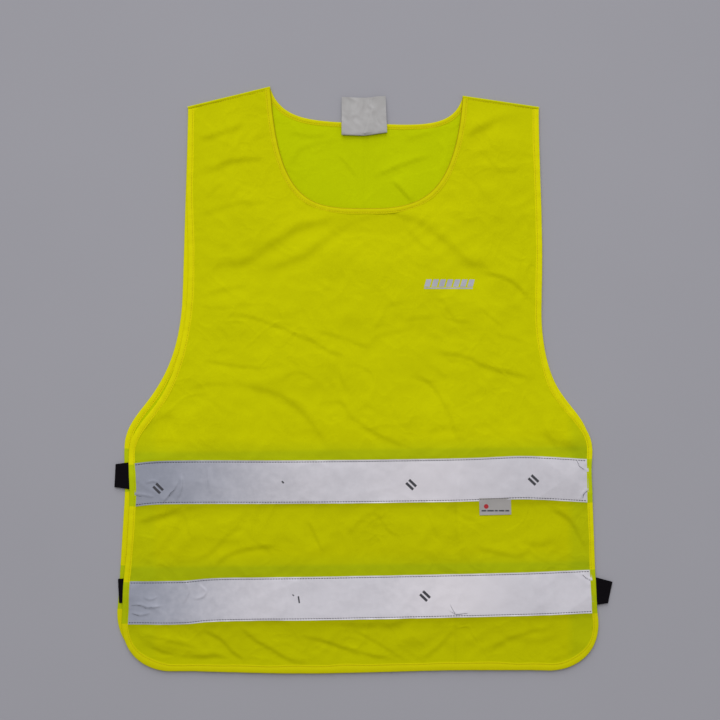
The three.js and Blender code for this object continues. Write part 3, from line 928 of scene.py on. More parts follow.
def tape_material(name, tone_and_light):
    """Glass-bead reflective cloth: a satin grey full of tiny bright grains, with painted shade at its left
    end and a painted highlight in its middle.
    """
    s = Shader(name)
    beads = s.noise(0.35, detail=1)
    rubbed = s.noise(28, detail=4, roughness=0.6)
    streaks = s.noise(7, detail=3)
    shade = rubbed * 0.45 + streaks * 0.25 + beads * 0.3
    tape_grey = s.blend(shade, *(scaled(colour, tone_and_light["tone"]) for colour in TAPE_GREYS))
    shaded_end = s.blend(shade, *(scaled(colour, tone_and_light["shaded_end_tone"]) for colour in SHADED_END_GREYS))
    place = (streaks - 0.5) * (30 * MM) + s.x
    # Painted shade darkens the left end.
    tint = s.blend(s.ramp(place, *tone_and_light["shaded_end"]), shaded_end, tape_grey)
    middle = tone_and_light["highlight_middle"]
    # A painted highlight brightens the middle.
    highlight = s.ramp(place, middle - HIGHLIGHT_LEFT, middle) * s.ramp(place, middle + HIGHLIGHT_RIGHT, middle)
    tint = s.blend(highlight * tone_and_light["highlight_gain"], tint, TAPE_HIGHLIGHT)
    s.set(Base_Color=tint, Metallic=0.15, Specular_IOR_Level=0.5, Roughness=rubbed * 0.2 + 0.36)
    s.bump(beads * 0.4 + streaks, 0.06, 0.5)
    return s.material


def elastic_material(name):
    """Black woven elastic: ribs across its width and a dull nap."""
    s = Shader(name)
    nap = s.noise(0.6)
    tint = s.blend(nap, (0.003, 0.002, 0.003), (0.007, 0.006, 0.008))
    s.set(Base_Color=tint, Roughness=0.9, Specular_IOR_Level=0.04)
    s.bump(nap * 0.3 + s.wave(s.x, 0.9) * 0.35 + s.wave(s.y, 1.5), 0.18, 0.7)
    return s.material


def label_material(name, light, dark, pitch_mm):
    """Satin-woven label ribbon."""
    s = Shader(name)
    weave = s.wave(s.y, pitch_mm) * s.wave(s.x, pitch_mm * 0.8)
    tint = s.blend(weave * 0.3 + s.noise(14, detail=3) * 0.7, dark, light)
    s.set(Base_Color=tint, Roughness=0.5, Specular_IOR_Level=0.45)
    s.translucent(0.12, light, s.bump(weave, 0.05, 0.4))
    return s.material


def print_material(name, colour, roughness):
    """A thin film of ink or transfer, a little uneven."""
    s = Shader(name)
    grain = s.noise(0.9, detail=3)
    tint = s.blend(grain, scaled(colour, 0.82), scaled(colour, 1.12))
    s.set(Base_Color=tint, Roughness=roughness, Specular_IOR_Level=0.45)
    s.bump(grain, 0.03, 0.5)
    return s.material


def floor_material(name, dark, light):
    """Plain matt card."""
    s = Shader(name)
    grain = s.noise(1.6, detail=3)
    tint = s.blend(grain * 0.35 + s.noise(160) * 0.65, dark, light)
    s.set(Base_Color=tint, Roughness=0.9, Specular_IOR_Level=0.2)
    s.bump(grain, 0.05, 0.3)
    return s.material


YELLOW = (0.718, 0.725, 0.0005)
BACK_YELLOW = (0.655, 0.748, 0.0005)
BINDING_YELLOW = (0.740, 0.700, 0.0005)
MATERIALS = {
    "front_cloth": tricot_material("front_cloth", YELLOW, 60, add_front_shades),
    "back_cloth": tricot_material("back_cloth", BACK_YELLOW, 45),
    "edge_binding": binding_material("binding_cloth", BINDING_YELLOW),
    "neck_binding": binding_material("neck_binding", scaled(BINDING_YELLOW, 0.90)),
    # A painted shadow for the front neck binding's outer fold.
    "binding_fold_shadow": binding_material("binding_fold_shadow", (0.47, 0.40, 0.001)),
    "binding_over_tape": binding_material("binding_over_tape", (0.50, 0.585, 0.002)),
    "yellow_thread": thread_material("yellow_thread", (0.52, 0.42, 0.001)),
    "grey_thread": thread_material("grey_thread", (0.030, 0.030, 0.036)),
    "upper_tape": tape_material("upper_reflective_tape", TAPE_TONE_AND_LIGHT["upper"]),
    "lower_tape": tape_material("lower_reflective_tape", TAPE_TONE_AND_LIGHT["lower"]),
    "elastic": elastic_material("black_elastic"),
    "care_label": label_material("care_label_satin", (0.62, 0.61, 0.61), (0.32, 0.305, 0.30), 0.5),
    "tape_label": label_material("tape_label_satin", (0.46, 0.44, 0.43), (0.37, 0.35, 0.34), 0.45),
    "transfer": print_material("silver_transfer", (0.40, 0.40, 0.46), 0.4),
    "dark_ink": print_material("dark_ink", (0.045, 0.045, 0.055), 0.5),
    # Painted shade for the cracks in the tapes' coating.
    "crack_shadow_ink": print_material("painted_crack_shadow", (0.10, 0.105, 0.135), 0.8),
    "red_ink": print_material("red_ink", (0.42, 0.012, 0.02), 0.5),
    "floor": floor_material("floor_card", (0.352, 0.347, 0.382), (0.372, 0.367, 0.403)),
}


# ------------------------------------------------------------
# Panels and bindings


SHARP_ANGLE = math.radians(55)


def add_piece(name, shape, material, slot, *replaced):
    """A smooth-shaded object from (vertices in mm, faces), which takes the place of the CAD nodes named."""
    vertices, faces = shape
    mesh = bpy.data.meshes.new(name)
    mesh.from_pydata((np.asarray(vertices, float) * MM).tolist(), [], faces)
    mesh.polygons.foreach_set("use_smooth", [True] * len(mesh.polygons))
    mesh.set_sharp_from_angle(angle=SHARP_ANGLE)
    mesh.materials.append(MATERIALS[material])
    mesh.update()
    piece = bpy.data.objects.new(name, mesh)
    bpy.context.scene.collection.objects.link(piece)
    if replaced:
        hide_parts(*replaced)
    return piece


def fasten(piece, panel):
    """The piece moves with the back, or, on the front, has its transform baked into its mesh."""
    if panel is BACK:
        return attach(piece, "back")
    start, end = (TIP_Y - distance for distance in (BEND_FROM, BEND_TO))
    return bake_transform(piece, "back", "front", start=(0, start * MM, 0), end=(0, end * MM, 0))


def make_panel(panel):
    name, outline = panel.name, panel.outline(CUT_INSET)
    corners, triangles = filled(outline, PANEL_STEP)
    shape = shell(corners, HEIGHTS[name](*corners.T), triangles, CLOTH)
    piece = add_piece(f"{name}_panel_cloth", shape, f"{name}_cloth", "tricot", f"{name}_panel")
    return fasten(piece, panel), outline


# What is left of a binding's half thickness at its fold and its stitching.
PRESSED = 0.62


def binding_section(width, pucker):
    """A flattened fold round the cloth's edge, as points (distance inwards, height from its middle)."""
    half, pressed = BINDING_HALF, BINDING_HALF * PRESSED
    groove = width - BINDING_STITCH_INSET
    return [
        (0.0, 0.0), (0.25, -pressed), (1.1, -half), (width * 0.5, -half), (groove, -pressed),
        (width - 0.4, -half * 0.66), (width, -0.2), (width, half * 0.55), (width - 0.35, half * 0.82),
        (width - 1.0, half * 0.88 + pucker * 0.5), (groove, half * 0.58),
        (groove - 0.8, half * 0.94 + pucker), (width * 0.45, half * 1.06), (1.1, half), (0.25, pressed),
    ]


# The sides of that section that are its outer fold, which carries a painted shadow.
SHADOWED_FOLD_SIDES = (0, 1, 13, 14)

# How a binding's width wanders, and where the right side's and the hem's own widths set in, in mm.
SIDE_WANDER = 0.2
HEM_WANDER = 0.9
WANDER_LENGTH = 48
WANDER_SEED = 91
RIGHT_SIDE = (215, 245)
HEM_RISE = 40

# The unevenness that sewing gives a binding, in mm.
UNEVEN_STEP = 22
UNEVEN_WIDTH = 0.3
STITCH_WAVE = 0.07
STITCH_WAVE_LENGTH = 5.3


def binding_rings(line, widths, heights, seed):
    rng = np.random.default_rng(seed)
    along = lengths_along(line)
    knots = np.arange(0, along[-1] + UNEVEN_STEP, UNEVEN_STEP)
    uneven = np.interp(along, knots, rng.uniform(-1, 1, int(along[-1] // UNEVEN_STEP) + 2))
    puckers = STITCH_WAVE * np.sin(2 * math.pi * along / STITCH_WAVE_LENGTH) + 0.05 * uneven
    rings = []
    widths = widths + UNEVEN_WIDTH * uneven
    for p, n, width, height, pucker in zip(line, left_normals(line), widths, heights, puckers):
        rings.append([(*(p + n * u), height + v) for u, v in binding_section(width, pucker)])
    return np.array(rings)


def binding_widths(panel, line, part):
    if part == "neck":
        return np.full(len(line), NECK_BINDING[panel.name])
    x, y = line.T
    right = smoothstep((x - RIGHT_SIDE[0]) / (RIGHT_SIDE[1] - RIGHT_SIDE[0]))
    low = smoothstep((panel.hem_y + HEM_RISE - y) / HEM_RISE)
    width = between(between(EDGE_BINDING, RIGHT_SIDE_BINDING, right), HEM_BINDING, low)
    wander = ripple(lengths_along(line), np.zeros_like(x), WANDER_SEED, WANDER_LENGTH)
    return width + wander * between(SIDE_WANDER, HEM_WANDER, low)


# How long the end of a tape is that darkens the binding over it, in mm.
TAPE_END = 12


def mark_tape_ends(piece, panel):
    """The binding is thin, so it looks darker where the ends of the tapes run under it."""
    piece.data.materials.append(MATERIALS["binding_over_tape"])
    tapes = [tape for tape in TAPES if tape.panel is panel]
    for face in piece.data.polygons:
        x, y = face.center.x / MM, face.center.y / MM
        if any(abs(y - tape.middle(x)) < tape.half and abs(x) > -tape.left[0] - TAPE_END for tape in tapes):
            face.material_index = 1


def paint_fold_shadow(piece, ring_count):
    """The neck binding's outer fold gets a painted shadow, which shows as a thin dark line along the opening.
    """
    piece.data.materials.append(MATERIALS["binding_fold_shadow"])
    around = len(piece.data.vertices) // ring_count
    for face in piece.data.polygons[: (ring_count - 1) * around]:
        if face.index % around in SHADOWED_FOLD_SIDES:
            face.material_index = 2


def make_binding(panel, part, seed):
    """A binding and the stitches along it."""
    line = panel.neck if part == "neck" else panel.edge
    widths = binding_widths(panel, line, part)
    heights = HEIGHTS[panel.name](*shifted(line, widths / 2).T)
    name = f"{panel.name}_{part}"
    strip = add_piece(f"{name}_binding_strip", swept(binding_rings(line, widths, heights, seed)),
                      f"{part}_binding", "binding", f"{name}_binding")
    mark_tape_ends(strip, panel)
    if panel is FRONT and part == "neck":
        paint_fold_shadow(strip, len(line))
    row = shifted(line, widths - BINDING_STITCH_INSET)
    lift = BINDING_HALF * PRESSED
    rows = [stitch_row(np.column_stack([row, heights + up * lift]), up=up) for up in (1, -1)]
    stitches = add_piece(f"{name}_stitches", joined(*rows), "yellow_thread", "yellow_thread",
                         f"{name}_thread")
    return [fasten(piece, panel) for piece in (strip, stitches)]


def make_panel_with_bindings(panel, seed):
    cloth, outline = make_panel(panel)
    trim = make_binding(panel, "edge", seed) + make_binding(panel, "neck", seed + 1)
    size = outline.max(0) - outline.min(0)
    tuple(size * MM)


# ------------------------------------------------------------
# Reflective tapes

# How far the stitches lie off a tape's face, in mm.
THREAD_LIFT = 0.04
# Sharp creases in the ends of the front tapes: height and half width in mm, and route.
TAPE_CREASES = {
    "upper": [
        (1.10, 2.0, [(-233, -146), (-225, -136), (-217, -127), (-213, -116)]),
        (0.85, 2.2, [(-215, -142), (-210, -130), (-208, -120), (-209, -108)]),
        (0.75, 2.0, [(-268, -134), (-256, -135), (-240, -138)]),
        (0.60, 1.8, [(-252, -122), (-244, -119), (-236, -121)]),
        (0.35, 3.0, [(-182, -98), (-180, -118), (-176, -138)]),
        (0.60, 1.7, [(245, -91), (249, -100), (256, -106), (264, -109)]),
        (0.60, 1.7, [(251, -142), (254, -133), (261, -127)]),
        (0.30, 4.0, [(108, -94), (109, -118), (108, -143)]),
        (0.24, 5.0, [(-40, -96), (-38, -118), (-42, -142)]),
    ],
    "lower": [
        (1.10, 2.0, [(-270, -262), (-258, -262), (-248, -265), (-230, -263)]),
        (0.85, 2.2, [(-270, -271), (-258, -274), (-244, -271)]),
        (0.60, 2.0, [(-256, -252), (-246, -256), (-236, -252)]),
        (0.75, 2.0, [(-198, -255), (-186, -253), (-180, -245), (-190, -234)]),
        (0.60, 2.4, [(-206, -228), (-200, -244), (-208, -262)]),
        (0.60, 1.7, [(250, -224), (257, -230), (267, -234)]),
        (0.36, 2.6, [(191, -221), (196, -240), (202, -268)]),
        (0.45, 2.0, [(96, -265), (107, -271), (122, -270)]),
        (0.30, 4.0, [(108, -228), (109, -244), (108, -258)]),
        (0.24, 5.0, [(-90, -232), (-86, -254), (-92, -276)]),
    ],
}

# The groove along a tape's stitching: depth in mm, and place and reach as shares of the half width.
GROOVE_DEPTH = 0.12
GROOVE_PLACE = 0.93
GROOVE_REACH = 0.03


def tape_surface(tape, x, y):
    """The height of the middle of a tape, in mm."""
    below = HEIGHTS[tape.panel.name](x, y)
    if tape.panel is BACK:
        return below - TAPE_LIFT
    height = below + TAPE_LIFT + summed(ripple, x, y, TAPE_RIPPLES)
    for crease in TAPE_CREASES[tape.name]:
        height += np.maximum(fold_height(x, y, raised_north(crease)), 0)
    across = np.abs(y - tape.middle(x)) / tape.half
    return height - GROOVE_DEPTH * np.exp(-((across - GROOVE_PLACE) / GROOVE_REACH) ** 2)


def side_x(panel, y, inset, side):
    """Where a panel's left (-1) or right (1) edge lies at one height, drawn in by a distance."""
    line = shifted(panel.edge, inset)
    straight = line[(line[:, 0] * side > 0) & (line[:, 1] > panel.hem_y + 20)]
    order = np.argsort(straight[:, 1])
    return np.interp(y, straight[order, 1], straight[order, 0])


def tape_row(tape, offset, inset=TAPE_END_INSET):
    """A line along a tape at a distance from its middle, as points in plan."""
    height = (tape.left[1] + tape.right[1]) / 2 + offset
    left, right = (side_x(tape.panel, height, inset, side) for side in (-1, 1))
    x = np.linspace(left, right, int((right - left) / tape.step))
    return np.column_stack([x, tape.middle(x) + offset])


def tape_grid(tape):
    """A tape's middle surface: for each step along the tape, the points from its lower to its upper edge."""
    offsets = np.linspace(-tape.half, tape.half, int(tape.half * 2 / tape.step))
    shares = np.linspace(0, 1, len(tape_row(tape, 0)))
    rows = []
    for offset in offsets:
        row = tape_row(tape, offset)
        own_shares = np.linspace(0, 1, len(row))
        x, y = (np.interp(shares, own_shares, values) for values in row.T)
        rows.append(np.column_stack([x, y, tape_surface(tape, x, y)]))
    return np.array(rows).transpose(1, 0, 2)


def make_tape_stitches(tape, name, edge, side):
    """The row of stitches along one edge of a tape, with its other face on the inside of the panel."""
    panel = tape.panel
    up = 1 if panel is FRONT else -1
    row = tape_row(tape, side * (tape.half - TAPE_STITCH_INSET), inset=EDGE_BINDING)
    outside = tape_surface(tape, *row.T) + up * (TAPE_THICKNESS / 2 + THREAD_LIFT)
    inside = HEIGHTS[panel.name](*row.T) - up * CLOTH / 2
    outer = stitch_row(np.column_stack([row, outside]), up=up, **TAPE_STITCH)
    inner = stitch_row(np.column_stack([row, inside]), up=-up, **INSIDE_STITCH)
    stitches = add_piece(f"{name}_{edge}_stitches", joined(outer, inner), "grey_thread", "grey_thread",
                         f"{name}_{edge}_thread")
    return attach(stitches, panel.name)


def make_tape(tape):
    """A reflective tape and the two rows of stitches that hold it."""
    body = tape.panel.name
    name = f"{body}_{tape.name}_tape"
    band = add_piece(f"{name}_band", grid_shell(tape_grid(tape), TAPE_THICKNESS), f"{tape.name}_tape",
                     "reflective_tape", name)
    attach(band, body)
    stitches = [make_tape_stitches(tape, name, edge, side) for edge, side in (("top", 1), ("bottom", -1))]
    length = tape.right[0] - tape.left[0] + 2 * TAPE_TUCK
    tape.half * 2 * MM
    length * MM


# ------------------------------------------------------------
# Side straps, shoulder seams and the care label


def follow_along(piece, shares):
    """Bakes a folded strip's transform; how far along its own length each point lies is worked out but not
    used.
    """
    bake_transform(piece)
    values = smoothstep(np.asarray(shares)).astype(np.float32)


# How each strap's leaves spread past its width above and below, how far they draw in above and below, and
# how its fold slants, in mm.
STRAP_FOLDS = {
    "left_upper_strap": (2.2, 4.2, 4.6, 5.0, 1.4),
    "left_lower_strap": (1.2, 1.2, 2.6, 2.2, -1.1),
    "right_upper_strap": (1.0, 1.0, 1.0, 1.0, 0.0),
    "right_lower_strap": (4.0, 3.6, 9.0, 3.6, 5.0),
}
STRAP_FOLD_POINTS = 12
STRAP_LEAF_POINTS = 14
STRAP_WIDTH_POINTS = 22
# A strap's section, from its lower to its higher sewn end, in mm.
STRAP_LOW = 2.35
STRAP_HIGH = 3.65
STRAP_RADIUS = 0.62
STRAP_DROP = 1.2
STRAP_WAVE = 0.10


def strap_profile(drop):
    """A strap's way from its lower sewn end round its fold to its upper one: shares outwards, heights."""
    leaf = np.linspace(0, 1, STRAP_LEAF_POINTS)[:-1]
    turn = np.linspace(-math.pi / 2, math.pi / 2, STRAP_FOLD_POINTS)
    low_drop, high_drop = drop, drop + 0.06
    low, high = STRAP_LOW - low_drop * smoothstep(leaf), STRAP_HIGH - high_drop * smoothstep(leaf)
    fold_z = (STRAP_LOW - low_drop + STRAP_HIGH - high_drop) / 2
    outwards = np.concatenate([leaf, 1 + 0.03 * np.cos(turn), leaf[::-1]])
    heights = np.concatenate([low, fold_z + STRAP_RADIUS * np.sin(turn), high[::-1]])
    return outwards, heights


def make_strap(name):
    low, high = box_mm(name)
    hidden = name == "right_upper_strap"
    outward = -1 if name.startswith("left") or hidden else 1
    sewn_x, fold_x = (high[0], low[0]) if outward < 0 else (low[0], high[0])
    spread_up, spread_down, upper_in, lower_in, slant = STRAP_FOLDS[name]
    outwards, heights = strap_profile(0.0 if hidden else STRAP_DROP)
    out, across = np.meshgrid(outwards, np.linspace(0, 1, STRAP_WIDTH_POINTS), indexing="ij")
    top, bottom = high[1] + spread_up - upper_in * out, low[1] - spread_down + lower_in * out
    reach = fold_x + slant * (across - 0.5) - abs(slant) / 2 * outward
    wave = STRAP_WAVE * np.sin(across * math.pi * 2 + out * 2)
    grid = np.stack([sewn_x + (reach - sewn_x) * out, bottom + (top - bottom) * across,
                     heights[:, None] + wave], axis=2)
    if outward < 0:
        grid = grid[:, ::-1]
    piece = add_piece(f"{name}_elastic", grid_shell(grid, STRAP_THICKNESS), "elastic", "elastic", name)
    path = lengths_along(np.column_stack([outwards * abs(fold_x - sewn_x), heights]))
    follow_along(piece, np.tile(np.repeat(path / path[-1], STRAP_WIDTH_POINTS), 2))


# The section of a shoulder seam, from its turned-in lower edge outwards and back, in mm.
SEAM_LOW = 0.35
SEAM_ROUND = 1.2
SEAM_OUT = 1.7
SEAM_TURNED_IN = 2.6
SEAM_GAP = 0.12
SEAM_STITCH_INSET = 0.6
# Waves along a seam: height, and length for one radian, in mm. Its upper side takes on a share of them.
SEAM_WAVES = [(0.12, 3.1), (0.10, 7.7)]
SEAM_WAVE_UP = 0.6


def seam_section():
    """The section of the turned cloth, as points (distance inwards, height), and its middle height."""
    middle, radius = (SEAM_LOW + SHOULDER_REST) / 2, (SHOULDER_REST - SEAM_LOW) / 2
    turn = np.linspace(-math.pi / 2, math.pi / 2, 11)
    centre = [(SEAM_TURNED_IN, SEAM_LOW)]
    centre += [(-SEAM_ROUND * math.cos(t) - SEAM_OUT, middle + radius * math.sin(t)) for t in turn]
    centre.append((-SEAM_GAP - CLOTH / 2, SHOULDER_REST))
    outer = [(u - CLOTH / 2, z + (z - middle) / radius * CLOTH / 2) for u, z in centre]
    inner = [(u + CLOTH / 2, z - (z - middle) / radius * CLOTH / 2) for u, z in reversed(centre)]
    return (outer + inner)[::-1], middle


def make_shoulder_seam(name, line):
    """The turned cloth along a shoulder, where the front meets the back, and its row of stitches."""
    section, middle = seam_section()
    along = lengths_along(line)
    waves = sum(size * np.sin(along / length) for size, length in SEAM_WAVES)
    rings = np.array([
        [(*(p + n * (u + wave * (u > 0))), z + wave * SEAM_WAVE_UP * (z > middle)) for u, z in section]
        for p, n, wave in zip(line, left_normals(line), waves)])
    row_z = SHOULDER_REST + CLOTH / 2 + waves * SEAM_WAVE_UP
    row = np.column_stack([shifted(line, SEAM_STITCH_INSET), row_z])
    folded, stitched = swept(rings), stitch_row(evenly(row, LINE_STEP)[1:-1])
    piece = add_piece(f"{name}_fold", joined(folded, stitched), "front_cloth", "tricot", name)
    piece.data.materials.append(MATERIALS["yellow_thread"])
    for face in piece.data.polygons[len(folded[1]):]:
        face.material_index = 1
    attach(piece, "back")


# The care label, in mm.
LABEL_LEFT = -25.2
LABEL_RIGHT = 27.2
LABEL_THICKNESS = 0.22
LABEL_HEIGHT = 3.2
LABEL_RADIUS = 0.95
LABEL_DROOP = 2.4
LABEL_CRUMPLE = 0.5
# Its one clear crease: height in mm, and place, lean and reach to either side as shares of the width.
LABEL_CREASE = 1.5
LABEL_CREASE_PLACE = 0.50
LABEL_CREASE_LEAN = 0.26
LABEL_CREASE_REACH = (0.035, 0.15)
# How its fold lies below the CAD's, rises to the right and dips in the middle, and how its free leaf is
# longer at the left, shorter at the right and leans to the left, in mm. The dip's width is a share.
LABEL_BELOW = 0.6
LABEL_RISE = 5.44
LABEL_DIP = 0.9
LABEL_DIP_WIDTH = 0.34
LABEL_LONGER = 1.0
LABEL_SHORTER = 3.0
LABEL_LEAN = 2.2


def label_leaf_lift(across, along):
    """How much the free leaf of the care label stands above a flat one, in mm."""
    past = across - LABEL_CREASE_PLACE - LABEL_CREASE_LEAN * along
    reach = np.where(past < 0, *LABEL_CREASE_REACH)
    crease = LABEL_CREASE * np.exp(-((past / reach) ** 2)) * (1 - 0.4 * along)
    crumple = LABEL_CRUMPLE * creases(100 * across, 80 * along, 71, 34)
    return crease + crumple + 0.5 * (2 * across - 1) ** 2 * along - LABEL_DROOP * smoothstep(along * 1.15)


def care_label_grid(low_y, sewn_length, length):
    """The label's middle surface from its sewn end to its free end, and each row's share of the flip."""
    across = np.linspace(0, 1, 40)[None]
    x = LABEL_LEFT + (LABEL_RIGHT - LABEL_LEFT) * across
    right_half = np.maximum(0, across - 0.5)
    dip = LABEL_DIP * np.exp(-(((across - 0.5) / LABEL_DIP_WIDTH) ** 2))
    fold_y = low_y - LABEL_BELOW + LABEL_RISE * right_half - dip + LABEL_RADIUS
    sewn, turn, leaf = (values[:, None] for values in (
        np.linspace(1, 0, 8)[:-1], np.linspace(-math.pi / 2, math.pi / 2, 9), np.linspace(0, 1, 36)[1:]))
    wide, long = np.broadcast_arrays(across, leaf)
    parts = [
        (x, fold_y + sewn_length * sewn, LABEL_HEIGHT - 0.3 * sewn),
        (x, fold_y - LABEL_RADIUS * np.cos(turn), LABEL_HEIGHT + LABEL_RADIUS * (1 + np.sin(turn))),
        (x - LABEL_LEAN * leaf * np.maximum(0, across - 0.3),
         fold_y + (length + LABEL_LONGER - LABEL_SHORTER * right_half) * leaf,
         LABEL_HEIGHT + 2 * LABEL_RADIUS + label_leaf_lift(wide, long)),
    ]
    shares = np.concatenate([0 * sewn, 0.5 + turn / math.pi, 0 * leaf + 1])
    return np.concatenate([np.stack(np.broadcast_arrays(*part), axis=-1) for part in parts]), shares.ravel()


def make_care_label():
    """A satin strip folded at its lower edge: a sewn end, and a free leaf that lies over the neck binding."""
    low, high = box_mm("care_label")
    sewn_low, sewn_high = box_mm("care_label_sewn_end")
    width, length = high[0] - low[0], high[1] - low[1]
    sewn_length = sewn_high[1] - sewn_low[1]
    grid, shares = care_label_grid(low[1], sewn_length, length)
    piece = add_piece("care_label_ribbon", grid_shell(grid[::-1], LABEL_THICKNESS), "care_label",
                      "care_label", "care_label", "care_label_sewn_end")
    follow_along(piece, np.tile(np.repeat(shares[::-1], grid.shape[1]), 2))
    thread_y, thread_z = (sewn_low[1] + sewn_high[1]) / 2, LABEL_HEIGHT + 0.05
    row = np.array([(LABEL_LEFT + 2, thread_y, thread_z), (LABEL_RIGHT - 2, thread_y, thread_z)])
    stitches = add_piece("care_label_stitches", stitch_row(row), "yellow_thread", "grey_thread",
                         "care_label_thread")
    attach(stitches, "back")


# ------------------------------------------------------------
# Prints and the tape label

# Thicknesses of the prints and how far they lie off a surface, in mm.
FILM = 0.12
DASH_FILM = 0.06
INK = 0.05
PRINT_LIFT = 0.05
DASH_LIFT = 0.04


def patch(corners, count, height_at, thickness):
    """A thin four-cornered film that follows a surface. Its corners run anticlockwise in plan."""
    a, b, c, d = (np.array(p, float) for p in corners)
    u = np.linspace(0, 1, count[0])[:, None, None]
    v = np.linspace(0, 1, count[1])[:, None]
    plan = (a * (1 - u) + b * u) * (1 - v) + (d * (1 - u) + c * u) * v
    return grid_shell(lifted(plan, height_at), thickness)


def lifted(plan, height_at):
    """A grid of places in plan, raised to a surface."""
    flat = plan.reshape(-1, 2)
    return np.column_stack([flat, height_at(*flat.T)]).reshape(*plan.shape[:2], 3)


def rectangle(left, bottom, right, top, slant=0.0):
    """The corners of an upright rectangle, or of one whose top is shifted to the right."""
    return [(left, bottom), (right, bottom), (right + slant, top), (left + slant, top)]


# The chest mark, in mm.
BLOCKS = 7
BLOCK_GAP = 2.0
BLOCK_SLANT = 2.5
BAR_HEIGHT = 1.6
BAR_GAP = 0.9


def make_chest_mark():
    """A row of plain slanted blocks over a bar, in silver transfer film."""
    (left, bottom, _), (right, top, _) = box_mm("chest_mark")
    right -= BLOCK_SLANT
    pitch = (right - left + BLOCK_GAP) / BLOCKS

    def surface(x, y):
        return front_height(x, y) + CLOTH / 2 + PRINT_LIFT

    parts = [patch(rectangle(left, bottom, right, bottom + BAR_HEIGHT), (40, 3), surface, FILM)]
    for k in range(BLOCKS):
        x = left + k * pitch
        block = rectangle(x, bottom + BAR_HEIGHT + BAR_GAP, x + pitch - BLOCK_GAP, top, BLOCK_SLANT)
        parts.append(patch(block, (8, 10), surface, FILM))
    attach(add_piece("chest_mark_film", joined(*parts), "transfer", "print", "chest_mark"), "front")


# Plain marks on the front tapes: tape, x, and height above the tape's middle, in mm.
TAPE_MARKS = [("upper", -237, -6.5), ("upper", 55, -4.5), ("upper", 196, -2.5), ("lower", 71, 0.5)]
# Each is a pair of dashes: direction, distance from the mark's middle, and length and width in mm.
MARK_ALONG = np.array([0.72, -0.69])
MARK_OFFSET = 2.5
MARK_SIZE = (11.2, 3.0)
# Remains of others: tape, x, height, length and width in mm, and turn in radians.
WORN_MARKS = [
    ("upper", -93, 0.0, 3.2, 1.8, -0.9),
    ("lower", -81, 4.2, 2.4, 1.2, -0.7),
    ("lower", -74.5, -1.0, 8.0, 1.7, 1.72),
]


def ink_dash(tape_name, x, offset, along, size, shift=0.0):
    """One dash of ink on a front tape, moved to its own left by the shift."""
    tape = front_tape(tape_name)
    across = np.array([-along[1], along[0]])
    centre = np.array([x, tape.middle(np.array([x]))[0] + offset]) + across * shift
    end, side = along * size[0] / 2, across * size[1] / 2
    corners = [centre - end - side, centre + end - side, centre + end + side, centre - end + side]
    lift = TAPE_THICKNESS / 2 + DASH_LIFT
    return patch(corners, (8, 3), lambda x, y: tape_surface(tape, x, y) + lift, DASH_FILM)


def make_tape_marks():
    """Pairs of short slanted dashes in dark ink, and remains of others."""
    shifts = (-MARK_OFFSET, MARK_OFFSET)
    parts = [ink_dash(*mark, MARK_ALONG, MARK_SIZE, shift) for mark in TAPE_MARKS for shift in shifts]
    for name, x, offset, length, width, turn in WORN_MARKS:
        parts.append(ink_dash(name, x, offset, np.array([math.cos(turn), math.sin(turn)]), (length, width)))
    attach(add_piece("tape_marks_ink", joined(*parts), "dark_ink", "print"), "front")


# Painted shade in fine cracks in the front tapes' coating: width in mm and route.
CRACK_STEP = 0.7
TAPE_CRACK_SHADOWS = {
    "upper": [
        (0.6, [(-218, -128), (-222, -131), (-225, -136)]),
        (0.6, [(-268, -134), (-262, -135), (-256, -136)]),
        (0.9, [(246.6, -94), (249.4, -100.6), (254.7, -104.4)]),
        (1.0, [(253.6, -138), (254.7, -133), (259, -129)]),
    ],
    "lower": [
        (0.6, [(-269, -262), (-258, -262), (-251, -265), (-244, -263)]),
        (0.5, [(-268, -271), (-258, -274)]),
        (1.0, [(253, -226), (257, -230), (263, -233)]),
        (1.0, [(100, -268), (107, -271.5), (113, -271), (120, -270)]),
        (0.5, [(100, -260), (103, -266), (106, -271)]),
    ],
}


def crack_shadow_sliver(tape, width, route):
    """A thin sliver along a route, ragged and pointed at both ends."""
    line = smooth_line(route, CRACK_STEP, WHOLE)
    along = lengths_along(line)
    taper = np.sqrt(np.sin(math.pi * (0.02 + 0.96 * along / along[-1])))
    reach = width / 2 * taper * np.random.default_rng(len(line)).uniform(0.55, 1.1, len(line))
    plan = np.stack([shifted(line, -reach), line, shifted(line, reach)], axis=1)
    lift = TAPE_THICKNESS / 2 + PRINT_LIFT
    return grid_shell(lifted(plan, lambda x, y: tape_surface(tape, x, y) + lift), INK)


def make_crack_shadows():
    """Dark films of painted shade where the tapes' coating has cracked at creases."""
    parts = [crack_shadow_sliver(front_tape(name), *crack) for name, cracks in TAPE_CRACK_SHADOWS.items() for crack in cracks]
    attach(add_piece("painted_crack_shadow_films", joined(*parts), "crack_shadow_ink", "reflective_tape"), "front")


# The tape label, in mm.
TAPE_LABEL_THICKNESS = 0.2
TAPE_LABEL_LIFT = 0.16
TAPE_LABEL_CURL = 0.55
TAPE_LABEL_WAVE = (0.12, 9)
TAPE_LABEL_TUCK = 2.5
TAPE_LABEL_INK_LIFT = 0.13
# The print on it, in mm.
LABEL_DASHES = (5.5, 7.5, 3.6, 6.4, 4.6)
DASH_GAP = 1.1
DASH_HEIGHT = 1.7
DOT_RADIUS = 2.7


